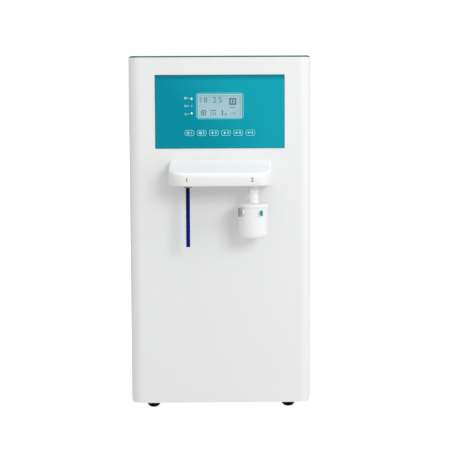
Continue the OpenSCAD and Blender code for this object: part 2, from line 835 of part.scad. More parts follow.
module ro_collet() color("darkgray")
    translate([-outlet_x, outlet_yy, head_z - mouth_drop - collet_out]) collet();

module ro_outlet_tube() color("mediumblue") translate([-outlet_x, outlet_yy, tube_z]) difference() {
    cylinder(d = tube_d, h = tube_drop + tube_in);
    translate([0, 0, -1]) cylinder(d = tube_bore, h = tube_drop + tube_in + 2);
}

// Threaded nozzle of the polished outlet
module up_nozzle() color("white") translate([outlet_x, outlet_yy, 0]) difference() {
    union() {
        elbow(capsule_z + socket_top);
        bar_z(0, 0, spigot_r, capsule_z + 3.5, capsule_z + socket_top + 1);
        translate([0, 0, capsule_z + socket_top + 2]) cylinder(r = 9, h = 5, $fn = 6);
    }
    bar_z(0, 0, tube_bore / 2, capsule_z, branch_z);
    bar_y(0, branch_z, tube_bore / 2, 0, outlet_y);
}

// ---------------------------------------------------------------- filter capsule

module capsule_head() color("white") translate([outlet_x, outlet_yy, capsule_z]) rotate_extrude() {
    polygon(concat(
        [[spigot_r + 0.1, 3], [2.6, 3], [2.6, -cap_flange_h - spigot_h],
         [bowl_r - bowl_t - 0.1, -cap_flange_h - spigot_h], [bowl_r - bowl_t - 0.1, -cap_flange_h],
         [capsule_r - 0.9, -cap_flange_h], [capsule_r, -cap_flange_h + 0.9]],
        [for (a = [0:15:90]) [capsule_r - 2.6 + 2.6 * cos(a), -2.6 + 2.6 * sin(a)]],
        [[10, 0.6], [8.6, 2], [8.2, 4], [8.2, socket_top - 1], [7.6, socket_top],
         [spigot_r + 0.1, socket_top]]));
}

module bowl_profile(inset) {
    r = bowl_r - inset;
    h = bowl_h - inset;
    polygon(concat(
        [[0, 0], [r, 0], [r - 0.8, -h + 11]],
        [for (a = [0:15:75]) [r - 8 + 7 * cos(a), -h + 11 - 7 * sin(a)]],
        [[9, -h + 3.6], [7, -h + 2], [6.4, -h], [0, -h]]));
}

module capsule_bowl() color("white") translate([outlet_x, outlet_yy, bowl_z]) difference() {
    union() {
        rotate_extrude() bowl_profile(0);
        for (t = [[vent_turn, vent_z, 3.4, vent_stub], [bleed_turn, bleed_z, 2.4, bleed_stub]])
            rotate(t[0]) translate([0, 0, t[1] - bowl_z]) rotate([90, 0, 0])
                cylinder(r = t[2], h = bowl_r + t[3]);
    }
    translate([0, 0, eps]) rotate_extrude() bowl_profile(bowl_t);
    translate([0, 0, -bowl_h - 1]) cylinder(r = 4, h = 10);
    for (t = [[vent_turn, vent_z], [bleed_turn, bleed_z]])
        rotate(t[0]) translate([0, 0, t[1] - bowl_z]) rotate([90, 0, 0])
            cylinder(r = stub_bore_r, h = bowl_r + 4);
}

// Pleated cylinder: the folds run between two radii
module filter_membrane() color("ivory") translate([outlet_x, outlet_yy, bowl_z - bowl_h + 13]) {
    linear_extrude(bowl_h - 13 - spigot_h) difference() {
        polygon([for (i = [0:2 * pleats - 1])
            let (r = i % 2 == 0 ? bowl_r - bowl_t - 2.5 : bowl_r - bowl_t - 8)
            [r * cos(i * 180 / pleats), r * sin(i * 180 / pleats)]]);
        circle(5);
    }
}

// Winged valve knob on a stub of the bowl, its axis radial
module wing(turn, z, r, tall, thick, stub) {
    translate([outlet_x, outlet_yy, z]) rotate(turn) translate([0, -bowl_r - stub - 0.05, 0])
        rotate([90, 0, 0]) {
            cylinder(r = r, h = 3);
            translate([0, 0, 1]) linear_extrude(3.6) rotate(90) slot(tall, thick);
        }
}

module vent_knob() color("dimgray") wing(vent_turn, vent_z, 3.2, 14, 4.6, vent_stub);
module bleed_lever() color("teal") wing(bleed_turn, bleed_z, 2.1, 9, 2.6, bleed_stub);

// ---------------------------------------------------------------- inside

// Solenoid valve: body on the fascia, upright coil, nozzle forward, stub back
module outlet_valve() {
    z = branch_z;
    y = front_y + fascia_t;
    translate([-valve_w / 2, y, z - valve_h / 2]) cube([valve_w, valve_l, valve_h]);
    bar_z(0, y + coil_y, coil_d / 2, z + valve_h / 2, z + valve_h / 2 + coil_h);
    bar_z(0, y + coil_y, 5, z + valve_h / 2 + coil_h, z + valve_h / 2 + coil_h + 4);
    bar_y(0, z, branch_r, front_y - branch_end, y + 1);
    bar_y(0, z, stub_r, y + valve_l - 1, y + valve_l + stub_out);
}

module ro_valve() color("white") translate([-outlet_x, 0, 0]) outlet_valve();
module up_valve() color("white") translate([outlet_x, 0, 0]) outlet_valve();

module conductivity_cell() color("lightgray") {
    y0 = front_y + valve_y;
    bar_y(outlet_x, branch_z, stub_r, y0, y0 + cell_l);
    bar_y(outlet_x, branch_z, 9, y0 + 8, y0 + cell_l - 8);
    bar_z(outlet_x, y0 + cell_l / 2, 3, branch_z, branch_z + 20);
}

// Feed valve in line with the feed port
module feed_valve() color("white") translate([feed_x, 0, feed_z]) {
    y = front_y + feed_valve_y;
    block(-valve_w / 2, valve_w / 2, y + 8, y + feed_valve_l - 8, tray_z - feed_z, 14);
    bar_y(0, 0, stub_r, y, y + feed_valve_l);
    bar_z(0, y + feed_valve_l / 2, coil_d / 2, 14, 14 + coil_h);
}

// Pressure switches, each on a tee in an upright run of tubing
module pressure_switches() color("dimgray")
    for (t = [[pump_x + pump_stub, pump_stub_y, low_tee_z], [-outlet_x, high_tee_y, high_tee_z]])
        translate([t[0], front_y + t[1], t[2]]) {
            bar_z(0, 0, 6.5, -tee_h, tee_h);
            bar_y(0, 0, 5, 0, 12);
            bar_y(0, 0, 11, 10, 32);
        }

// Upright cartridge on the tray: body, ribbed shoulder, two stubs on its cap
module cartridge(y, d, h) translate([cart_x, front_y + y, tray_z]) {
    body = h - 18;
    rotate_extrude() polygon([[0, 0], [d / 2 - 2, 0], [d / 2, 2], [d / 2, body - 26],
        [d / 2 - 2, body - 24], [d / 2 - 2, body - 20], [d / 2, body - 18], [d / 2, body - 4],
        [d / 2 - 6, body], [d / 2 - 16, body + 2], [0, body + 2]]);
    for (s = [-1, 1]) bar_z(0, s * port_gap, stub_r, body, h);
}

module prefilter_cartridge() color("white") cartridge(prefilter_y, prefilter_d, prefilter_h);
module polishing_cartridge_front() color("aliceblue") cartridge(polish_front_y, polish_d, polish_h);
module polishing_cartridge_rear() color("aliceblue") cartridge(polish_rear_y, polish_d, polish_h);

// Tube with one domed end that carries the permeate and brine stubs
module ro_housing() color("white") translate([ro_x, front_y, ro_z]) difference() {
    union() {
        rotate([-90, 0, 0]) rotate_extrude() polygon(concat(
            [[0, ro_y0]], [[ro_d / 2, ro_y0]],
            [for (a = [0:15:75]) [ro_d / 2 * cos(a), ro_y1 - ro_dome + ro_dome * sin(a)]],
            [[0, ro_y1]]));
        for (s = [-1, 1]) bar_y(0, s * ro_stub, stub_r, ro_y1 - 20, ro_back);
    }
    bar_y(0, 0, ro_d / 2 - ro_wall, ro_y0 - 1, ro_y1 - ro_dome - ro_wall);
}

module ro_end_cap() color("white") translate([ro_x, front_y, ro_z]) difference() {
    union() {
        bar_y(0, 0, ro_d / 2 + 4, ro_cap_y0, ro_y0 + 14);
        bar_y(0, 0, stub_r, ro_cap_y0 - stub_out, ro_cap_y0 + 1);
        for (a = [0:30:330]) rotate([0, a, 0]) bar_y(ro_d / 2 + 3.5, 0, 2, ro_cap_y0 + 2, ro_y0 + 14);
    }
    bar_y(0, 0, ro_d / 2 + 0.1, ro_y0, ro_y0 + 15);
    bar_y(0, 0, 3, ro_cap_y0 + 4, ro_y0);
}

module ro_membrane() color("ghostwhite") translate([ro_x, front_y, ro_z]) difference() {
    union() {
        bar_y(0, 0, ro_d / 2 - ro_wall - 1, ro_y0 + 4, ro_y1 - ro_dome - ro_wall - ro_core_gap);
        bar_y(0, 0, 8, ro_y0 + 0.5, ro_y1 - ro_dome - ro_wall);
    }
    bar_y(0, 0, 4, ro_y0, ro_y1);
}

// Spring clips on the partition: three round the cartridges, two round the housing
module clip_ring(r) difference() {
    circle(r + clip_t);
    circle(r + 0.05);
    rotate(-60) square([far, far]);
    rotate(-30) square([far, far]);
}

module cartridge_clips() color("dimgray") {
    x = part_x + sheet_t;
    for (c = [[polish_front_y, polish_d], [polish_rear_y, polish_d], [prefilter_y, prefilter_d]])
        translate([cart_x, front_y + c[0], clip_z]) linear_extrude(clip_h) {
            clip_ring(c[1] / 2);
            translate([x - cart_x, -8]) square([cart_x - x - c[1] / 2 - 1, 16]);
        }
    for (y = ro_clip_y)
        across(front_y + y, front_y + y + clip_h) translate([ro_x, ro_z]) {
            clip_ring(ro_d / 2);
            translate([x - ro_x, -8]) square([ro_x - x - ro_d / 2 - 1, 16]);
        }
}

module permeate_manifold() color("whitesmoke") translate([mani_x, front_y + mani_y, mani_z]) {
    cube([mani_w, mani_l, mani_w], center = true);
    for (k = [-1:1]) bar_z(0, k * mani_step, stub_r, mani_w / 2 - 1, mani_w / 2 + stub_out);
    bar_y(0, 0, stub_r, mani_l / 2 - 1, mani_l / 2 + stub_out);
}

module pump_bracket() color("silver") translate([pump_x, front_y + pump_y, tray_z]) difference() {
    union() {
        block(-52, 52, 18, 142, bracket_h, bracket_h + sheet_t);
        for (s = [-1, 1], y = pump_screw_y)
            translate([s * pump_screw_x, y, 0]) cylinder(r = 7, h = bracket_h);
        for (y = [pump_head_l + 10, pump_head_l + motor_l - 40])
            block(-20, 20, y, y + 12, bracket_h, pump_z - tray_z - motor_d / 2 + 3);
    }
    for (s = [-1, 1], y = pump_screw_y) translate([s * pump_screw_x, y, 0]) screw_hole(m4, 12);
    bar_y(0, pump_z - tray_z, motor_d / 2 + 0.05, 0, 300);
}

module pump_motor() color("dimgray") translate([pump_x, front_y + pump_y, pump_z]) {
    bar_y(0, 0, motor_d / 2, pump_head_l, pump_head_l + motor_l - 8);
    bar_y(0, 0, motor_d / 2 - 5, pump_head_l + motor_l - 9, pump_head_l + motor_l);
    bar_y(0, 0, 8, pump_head_l + motor_l - 1, pump_head_l + motor_l + 5);
}

module pump_head() color("gray") translate([pump_x, front_y + pump_y, pump_z]) {
    across(12, pump_head_l) rounded(pump_head_w, pump_head_w, 10);
    across(0, 12) rounded(pump_head_w - 12, pump_head_w - 12, 16);
    for (s = [-1, 1])
        bar_z(s * pump_stub, pump_stub_y - pump_y, stub_r, pump_head_w / 2 - 1, pump_top - pump_z);
}

module power_supply() color("silver") translate([part_x - psu_w, front_y, psu_z]) difference() {
    block(0, psu_w, psu_y0, psu_y1, 0, psu_h);
    slots = 10;
    for (k = [0:slots - 1])
        translate([0, psu_y0 + 12 + k * (psu_y1 - psu_y0 - 24) / (slots - 1), psu_h / 2])
            rotate([90, 0, 90]) linear_extrude(3, center = true) rotate(90) slot(0.7 * psu_h, 4);
}

// Board on four spacers with relays along its top, a processor and two rows of sockets
module main_board() color("seagreen") translate([part_x - 8, front_y + logic_y, logic_z]) {
    bay = logic_l / 6;
    block(-board_t, 0, 0, logic_l, 0, logic_h);
    for (y = [10, logic_l - 10], z = [10, logic_h - 10])
        translate([-eps, y, z]) rotate([0, 90, 0]) cylinder(r = 3, h = 8 + eps);
    for (k = [0:4])
        block(-board_t - 15, eps - board_t, (k + 0.6) * bay, (k + 1.4) * bay, logic_h - 38, logic_h - 10);
    block(-board_t - 3, eps - board_t, logic_l / 2 - 12, logic_l / 2 + 12, 40, 64);
    for (k = [0:2]) block(-board_t - 10, eps - board_t, (2 * k + 0.4) * bay, (2 * k + 1.6) * bay, 4, 14);
}

// ---------------------------------------------------------------- inner tubing

function unit(v) = v / norm(v);
function sweep_dirs(p) = [for (i = [0:len(p) - 1])
    unit(i == 0 ? p[1] - p[0] : i == len(p) - 1 ? p[i] - p[i - 1]
        : unit(p[i + 1] - p[i]) + unit(p[i] - p[i - 1]))];
function across_of(t, u) = unit(u - (u * t) * t);
function frames(t, u, i) = i >= len(t) ? []
    : let (v = across_of(t[i], u)) concat([v], frames(t, v, i + 1));

// Corner b of a route, rounded: four points on the arc from leg a-b to leg b-c
function bend(a, b, c) =
    let (p = unit(a - b), q = unit(c - b), o = b + bend_r * (p + q))
    [for (w = [0:30:90]) o - bend_r * (q * cos(w) + p * sin(w))];
function rounded_route(r) = concat([r[0]],
    [for (i = [1:1:len(r) - 2]) each bend(r[i - 1], r[i], r[i + 1])], [r[len(r) - 1]]);

// A tube of eight sides along a route of square corners
module tube_run(route) {
    sides = 8;
    p = rounded_route([for (q = route) [q[0], front_y + q[1], q[2]]]);
    t = sweep_dirs(p);
    first = abs(t[0][2]) > 0.5 ? [1, 0, 0] : [0, 0, 1];
    u = frames(t, first, 0);
    n = len(p);
    polyhedron(
        [for (i = [0:n - 1], k = [0:sides - 1])
            let (w = cross(t[i], u[i]), a = 360 * k / sides)
            p[i] + tube_r * (u[i] * cos(a) + w * sin(a))],
        concat(
            [[for (k = [0:sides - 1]) k]],
            [for (i = [0:n - 2], k = [0:sides - 1])
                let (a = i * sides + k, b = i * sides + (k + 1) % sides)
                [a, a + sides, b + sides, b]],
            [[for (k = [sides - 1:-1:0]) (n - 1) * sides + k]]),
        convexity = 6);
}

// Routes as x, distance behind the fascia, z, through their square corners
module inner_tubing() color("white") {
    suction_x = pump_x + pump_stub;
    pressure_x = pump_x - pump_stub;
    // feed port to feed valve, and on to the prefilter
    tube_run([[feed_x, feed_valve_y + feed_valve_l, feed_z], [feed_x, port_y, feed_z]]);
    tube_run([[feed_x, feed_valve_y, feed_z], [feed_x, riser_y, feed_z], [feed_x, riser_y, feed_level],
              [cart_x, riser_y, feed_level], [cart_x, riser_y, pre_top]]);
    // prefilter to pump
    tube_run([[cart_x, suction_y, pre_top], [cart_x, suction_y, suction_level],
              [suction_x, suction_y, suction_level], [suction_x, pump_stub_y, suction_level],
              [suction_x, pump_stub_y, low_tee_z + tee_h]]);
    tube_run([[suction_x, pump_stub_y, low_tee_z - tee_h], [suction_x, pump_stub_y, pump_top]]);
    // pump to reverse osmosis housing
    tube_run([[pressure_x, pump_stub_y, pump_top], [pressure_x, pump_stub_y, ro_level],
              [pressure_x, ro_front_y, ro_level], [ro_x, ro_front_y, ro_level], [ro_x, ro_front_y, ro_z],
              [ro_x, ro_cap_y0 - stub_out, ro_z]]);
    // permeate to manifold
    tube_run([[ro_x, ro_back, ro_z - ro_stub], [ro_x, port_y, ro_z - ro_stub],
              [mani_x, port_y, ro_z - ro_stub], [mani_x, port_y, mani_z], [mani_x, mani_back, mani_z]]);
    // brine to waste port
    tube_run([[ro_x, ro_back, waste_z], [ro_x, port_y, waste_z]]);
    // manifold to tank port
    tube_run([[mani_x, mani_y + mani_step, mani_top], [mani_x, mani_y + mani_step, tank_z],
              [mani_x, port_y, tank_z]]);
    // manifold to the left outlet valve
    tube_run([[mani_x, mani_y, mani_top], [mani_x, mani_y, part_top + 15],
              [-outlet_x, mani_y, part_top + 15], [-outlet_x, high_tee_y, part_top + 15],
              [-outlet_x, high_tee_y, high_tee_z + tee_h]]);
    tube_run([[-outlet_x, high_tee_y, high_tee_z - tee_h], [-outlet_x, high_tee_y, branch_z],
              [-outlet_x, valve_y, branch_z]]);
    // manifold to rear polishing cartridge
    tube_run([[mani_x, mani_y - mani_step, mani_top], [mani_x, mani_y - mani_step, mani_top + 26],
              [mani_x, polish_rear_y + port_gap, mani_top + 26], [mani_x, polish_rear_y + port_gap, duct_z],
              [cart_x, polish_rear_y + port_gap, duct_z], [cart_x, polish_rear_y + port_gap, cart_top]]);
    // rear to front polishing cartridge
    tube_run([[cart_x, polish_rear_y - port_gap, cart_top], [cart_x, polish_rear_y - port_gap, duct_z],
              [cart_x, polish_front_y + port_gap, duct_z], [cart_x, polish_front_y + port_gap, cart_top]]);
    // front polishing cartridge to conductivity cell
    tube_run([[cart_x, polish_front_y - port_gap, cart_top], [cart_x, polish_front_y - port_gap, branch_z],
              [cart_x, valve_y + cell_l, branch_z]]);
}

// ---------------------------------------------------------------- rear

// Stations of the three ports: +Z points forward, into the cabinet
module at_port(x, z) translate([x, back_y, z]) rotate([90, 0, 0]) children();

module at_ports() {
    at_port(feed_x, feed_z) children();
    at_port(waste_x, waste_z) children();
    at_port(tank_x, tank_z) children();
}

// Bulkhead push-fit port: hexagon outside, thread through the panel
module port() difference() {
    union() {
        translate([0, 0, -port_nut_h]) cylinder(r = port_nut_r, h = port_nut_h, $fn = 6);
        translate([0, 0, -port_out]) cylinder(r = port_barrel_r, h = port_out - port_nut_h + 1);
        translate([0, 0, -1]) cylinder(r = port_thread_r, h = port_in + 1);
        translate([0, 0, port_in - 1]) cylinder(r = stub_r, h = 3);
    }
    translate([0, 0, -port_out - 1]) cylinder(r = tube_r + tube_play / 2, h = port_out + 5);
    translate([0, 0, -port_out - 1]) cylinder(r = collet_mouth_r, h = collet_l - collet_ring + 1.3);
    translate([0, 0, -port_out - 1]) cylinder(r = tube_bore / 2, h = port_out + port_in - 2);
}

module feed_port() color("white") at_port(feed_x, feed_z) port();
module waste_port() color("white") at_port(waste_x, waste_z) port();
module tank_port() color("white") at_port(tank_x, tank_z) port();

module rear_collet(x, z) at_port(x, z) translate([0, 0, -rear_out]) collet();

module feed_collet() color("gray") rear_collet(feed_x, feed_z);
module waste_collet() color("gray") rear_collet(waste_x, waste_z);
module tank_collet() color("gray") rear_collet(tank_x, tank_z);

// Appliance inlet with the mains switch above it, in one moulded frame
module power_inlet() color("dimgray") difference() {
    union() {
        across(back_y, back_y + inlet_flange) translate([inlet_x, inlet_z])
            rounded(inlet_w + 7, inlet_h + 5, 3);
        across(back_y - socket_depth - 7, back_y + eps) translate([inlet_x, inlet_z])
            rounded(inlet_w, inlet_h, 1.5);
        // terminals at the back
        for (x = [-pin_x, 0, pin_x])
            block(inlet_x + x - 3, inlet_x + x + 3, back_y - socket_depth - 17, back_y - socket_depth - 6,
                  socket_z - 0.4, socket_z + 0.4);
    }
    // socket round its three contact pins
    difference() {
        across(back_y - socket_depth, back_y + 3) translate([inlet_x, socket_z]) polygon([
            [-socket_w / 2, -socket_h / 2], [socket_w / 2, -socket_h / 2], [socket_w / 2, socket_h / 2 - 5],
            [socket_w / 2 - 5, socket_h / 2], [5 - socket_w / 2, socket_h / 2],
            [-socket_w / 2, socket_h / 2 - 5]]);
        for (p = [[-pin_x, -2.5], [pin_x, -2.5], [0, 3]])
            block(inlet_x + p[0] - 1, inlet_x + p[0] + 1, back_y - socket_depth - 1, back_y - 2,
                  socket_z + p[1] - 2, socket_z + p[1] + 2);
    }
    across(back_y - 14, back_y + 3) translate([inlet_x, rocker_z])
        square([rocker_w, rocker_h], center = true);
    bar_x(inlet_x, rocker_w / 2 + 1.5, rocker_y, rocker_z, rocker_pin_r + 0.05);
}

// A round bar along X, reaching half its length to each side
module bar_x(x, half, y, z, r) translate([x - half, y, z]) rotate([0, 90, 0]) cylinder(r = r, h = 2 * half);

// Rocker: two flats that meet at a shallow angle, on a pin through the frame
module rocker_switch() color("black") {
    w = rocker_w / 2 - 0.3;
    along(inlet_x - w, inlet_x + w) translate([rocker_y, rocker_z]) rotate(rocker_tilt) polygon([
        [-6, -2.6], [1.5, -5.6], [4.2, -5.6], [2.4, 0], [4.2, 5.6], [1.5, 5.6], [-6, 2.6]]);
    bar_x(inlet_x, rocker_w / 2 + 1.2, rocker_y, rocker_z, rocker_pin_r);
}

// ---------------------------------------------------------------- drawing

base_tray();
front_fascia();
top_cover();
left_side_panel();
right_side_panel();
rear_panel();
front_crossbar();
inner_partition();
rubber_feet();
fasteners();
control_overlay();
lcd_bezel();
lcd_glass();
display_board();
status_leds();
key_switches();
power_key();
menu_key();
down_key();
up_key();
back_key();
enter_key();
head_shell();
head_base();
ro_outlet_fitting();
ro_collet();
ro_outlet_tube();
up_nozzle();
capsule_head();
capsule_bowl();
filter_membrane();
vent_knob();
bleed_lever();
ro_valve();
up_valve();
feed_valve();
pressure_switches();
prefilter_cartridge();
polishing_cartridge_front();
polishing_cartridge_rear();
ro_housing();
ro_end_cap();
ro_membrane();
cartridge_clips();
permeate_manifold();
pump_motor();
pump_head();
pump_bracket();
power_supply();
main_board();
conductivity_cell();
inner_tubing();
power_inlet();
rocker_switch();
feed_port();
waste_port();
tank_port();
feed_collet();
waste_collet();
tank_collet();
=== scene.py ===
import json
import math

import bmesh
import bpy
from bpy.props import FloatProperty, FloatVectorProperty, PointerProperty
from mathutils import Matrix, Vector
from mathutils.bvhtree import BVHTree


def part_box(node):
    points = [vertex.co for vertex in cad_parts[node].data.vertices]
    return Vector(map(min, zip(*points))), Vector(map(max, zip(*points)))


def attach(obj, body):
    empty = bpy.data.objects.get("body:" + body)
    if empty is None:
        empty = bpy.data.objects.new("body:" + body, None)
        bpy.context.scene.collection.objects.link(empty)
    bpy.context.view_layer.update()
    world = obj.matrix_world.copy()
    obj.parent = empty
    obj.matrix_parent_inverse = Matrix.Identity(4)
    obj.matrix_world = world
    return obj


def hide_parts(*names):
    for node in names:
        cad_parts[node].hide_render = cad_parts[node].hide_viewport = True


bl_info = {
    "name": "Bench Water Purifier",
    "version": (1, 0, 0),
    "blender": (4, 5, 0),
    "location": "View3D > Sidebar > Purifier",
    "description": "Dresses the packed water purifier: prints, display, tubing, finishes and a plain studio",
    "category": "Object",
}

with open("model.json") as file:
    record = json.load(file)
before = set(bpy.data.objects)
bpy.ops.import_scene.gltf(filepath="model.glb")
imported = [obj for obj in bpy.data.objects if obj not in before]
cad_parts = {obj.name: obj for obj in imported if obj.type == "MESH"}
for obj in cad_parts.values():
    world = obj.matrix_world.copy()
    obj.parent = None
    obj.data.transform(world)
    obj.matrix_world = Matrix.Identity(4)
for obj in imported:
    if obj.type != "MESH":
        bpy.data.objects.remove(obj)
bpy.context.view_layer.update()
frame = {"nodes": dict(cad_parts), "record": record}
NODES = frame["nodes"]
MM = 0.001

# Lowest and highest corners of the parts that carry a piece made here
FILM_LO, FILM_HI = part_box("control_overlay")
GLASS_LO, GLASS_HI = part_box("lcd_glass")
TUBE_LO, TUBE_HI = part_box("ro_outlet_tube")
LAMPS_LO, LAMPS_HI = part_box("status_leds")
HEAD_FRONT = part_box("head_shell")[0].y
COLLET_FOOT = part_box("ro_collet")[0].z

ROOT = "cabinet"
KEYS = ("power_key", "menu_key", "down_key", "up_key", "back_key", "enter_key")
OWN_FINISH = {"head_shell": "head_plastic", "head_base": "head_plastic", "vent_knob": "vent_plastic"}

# Sizes that follow the parts of the frame
WINDOW = Vector((68.0 * MM, 35.0 * MM))      # the display's opening in the fascia
HEAD_FLAT = 51.0 * MM                        # half the flat width of the head's front
HEAD_CORNER = 30.0 * MM                      # radius of the head's corners
KEY_PRINT = Vector((15.2 * MM, 9.5 * MM))    # the outline on a key
KEY_PRINT_CORNER = 3.2 * MM
KEY_SIGN_X = -2.2 * MM                       # from a key's middle to its sign
KEY_NUMBER_X = 3.0 * MM                      # from a key's middle to its number
FRAME_CORNER = 5.0 * MM                      # corner of the line round the display
OUTLET_NUMBERS = (("1", -52.0 * MM, -0.15 * MM), ("2", 48.6 * MM, -0.1 * MM))    # figure, x, thin
OUTLET_NUMBER_Z = 375.2 * MM
REAR_NUMBERS = {"tank_port": "3", "waste_port": "4", "feed_port": "5"}
REAR_NUMBER_OUT = 18.0 * MM                  # from a connection's middle to its number
TUBE_STEPS = 16

# The photograph's viewpoint: metres, degrees and millimetres of lens
CAMERA_PLACE = (-0.0213, -2.18635, 0.4783)
CAMERA_YAW = 0.82
CAMERA_PITCH = 5.10
CAMERA_ROLL = -0.27
CAMERA_LENS = 100.66
CAMERA_SENSOR = 36.0

# Each soft light: name, place, size in metres and the setting that holds its power
LIGHTS_AIM = (0.0, -0.15, 0.3)
LIGHTS = (
    ("key_light", (0.95, -2.0, 1.1), (0.8, 0.6), "key"),
    ("top_light", (0.0, -0.3, 2.3), (1.0, 0.5), "top"),
    ("right_light", (1.6, -1.0, 0.5), (0.5, 1.4), "side"),
    ("back_light", (-0.9, 2.2, 1.0), (1.0, 0.8), "back"),
)
FLOOR_RADIUS = 30.0
BACKGROUND = 1.05                            # how bright the surroundings look to the camera

TO_FRONT = Matrix.Rotation(math.pi / 2, 4, "X")      # a drawing in x, y stands up and faces -Y
TO_REAR = Matrix.Rotation(math.pi, 4, "Z") @ TO_FRONT


# ------------------------------------------------------------------ shader maths

class Value:
    """A shader socket that takes part in Python sums: each sum adds its Math node."""

    def __init__(self, finish, socket):
        self.finish = finish
        self.socket = socket

    def maths(self, operation, *terms, clamp=False):
        settings = {"operation": operation, "use_clamp": clamp}
        return self.finish.node("ShaderNodeMath", settings, dict(enumerate(terms)))

    def __add__(self, other):
        return self.maths("ADD", self, other)

    def __sub__(self, other):
        return self.maths("SUBTRACT", self, other)

    def __rsub__(self, other):
        return self.maths("SUBTRACT", other, self)

    def __mul__(self, other):
        return self.maths("MULTIPLY", self, other)

    def __truediv__(self, other):
        return self.maths("DIVIDE", self, other)

    def __abs__(self):
        return self.maths("ABSOLUTE", self)

    __radd__ = __add__
    __rmul__ = __mul__

    def fraction(self):
        return self.maths("FRACT", self)

    def larger(self, other):
        return self.maths("MAXIMUM", self, other)

    def between(self, low, high):
        """0 at low, 1 at high, straight in between and held outside."""
        return self.maths("MULTIPLY", self - low, 1 / (high - low), clamp=True)

    def blend(self, first, second):
        """The colour first where this is 0, second where it is 1."""
        return self.finish.node("ShaderNodeMix", {"data_type": "RGBA"}, {0: self, 6: first, 7: second}, 2)


FINISHES = {}


class Finish:
    """One material, on object coordinates, ended by its principled shader."""

    def __init__(self, name):
        self.material = FINISHES[name] = bpy.data.materials.new(name)
        self.material.use_nodes = True
        self.tree = self.material.node_tree
        self.tree.nodes.clear()
        self.place = self.node("ShaderNodeTexCoord", output=3)

    def node(self, kind, settings=None, inputs=None, output=0):
        """Adds a node: its settings first, then the values or links of its sockets."""
        made = self.tree.nodes.new(kind)
        for name, value in (settings or {}).items():
            if name == "stops":
                fill_ramp(made.color_ramp, value)
            else:
                setattr(made, name, value)
        for name, value in (inputs or {}).items():
            self.feed(made.inputs[name], value)
        return Value(self, made.outputs[output])

    def feed(self, socket, value):
        """Links a value to a socket, or sets a number or colour on it."""
        if isinstance(value, Value):
            self.tree.links.new(value.socket, socket)
        elif socket.type == "RGBA" and len(value) == 3:
            socket.default_value = (*value, 1.0)
        else:
            socket.default_value = value

    def axes(self):
        """The x, y and z of each point, in metres."""
        split = self.tree.nodes.new("ShaderNodeSeparateXYZ")
        self.tree.links.new(self.place.socket, split.inputs[0])
        return [Value(self, out) for out in split.outputs]

    def noise(self, scale, detail=2.0, stretch=None):
        """Noise from 0 to 1 with about scale lumps a metre; stretch packs it along an axis."""
        place = self.place
        if stretch:
            place = self.node("ShaderNodeMapping", None, {"Vector": place, "Scale": stretch})
        return self.node("ShaderNodeTexNoise", None, {"Vector": place, "Scale": scale, "Detail": detail})

    def ramp(self, value, *stops):
        """Colours along a value, each stop a place from 0 to 1 and a colour."""
        return self.node("ShaderNodeValToRGB", {"stops": stops}, {0: value})

    def bump(self, height, depth, strength=1.0):
        """The normal over a relief that is depth metres high where height is 1."""
        return self.node("ShaderNodeBump", None, {"Height": height, "Distance": depth, "Strength": strength})

    def surface(self, colour, roughness, **sockets):
        """Ends the material; further sockets are named with _ for their spaces."""
        inputs = {"Base Color": colour, "Roughness": roughness}
        for name, value in sockets.items():
            inputs[name.replace("_", " ")] = value
        shader = self.node("ShaderNodeBsdfPrincipled", None, inputs)
        self.tree.links.new(shader.socket, self.tree.nodes.new("ShaderNodeOutputMaterial").inputs["Surface"])
        return self.material


def fill_ramp(ramp, stops):
    """Sets a ramp's stops, each a place from 0 to 1 and a colour."""
    while len(ramp.elements) < len(stops):
        ramp.elements.new(1.0)
    for element, (position, colour) in zip(ramp.elements, stops):
        element.position = position
        element.color = (*colour, 1.0)


def shade(colour, factor):
    """A colour made darker or lighter."""
    return tuple(channel * factor for channel in colour)


# ------------------------------------------------------------------ finishes

def moulded(name, colour, roughness=0.38):
    """Injection-moulded plastic: fine spark-eroded grain, slightly uneven gloss."""
    finish = Finish(name)
    grains = finish.noise(2600.0)
    drift = finish.noise(14.0, 1.0)
    tint = drift.blend(shade(colour, 0.985), colour)
    return finish.surface(tint, roughness + 0.06 * (grains - 0.5) + 0.04 * drift,
                          Normal=finish.bump(grains, 0.02 * MM, 0.6), Specular_IOR_Level=0.45)


def powder_coat(name, colour, roughness=0.42, gloss=0.5):
    """Powder-coated sheet: a shallow orange peel under fine grain."""
    finish = Finish(name)
    peel = finish.noise(620.0, 1.0)
    grains = finish.noise(2900.0, 1.0)
    tint = finish.noise(9.0, 1.0).blend(shade(colour, 0.98), colour)
    return finish.surface(tint, roughness + 0.1 * (grains - 0.5),
                          Normal=finish.bump(peel + 0.25 * grains, 0.06 * MM, 0.5), Specular_IOR_Level=gloss)


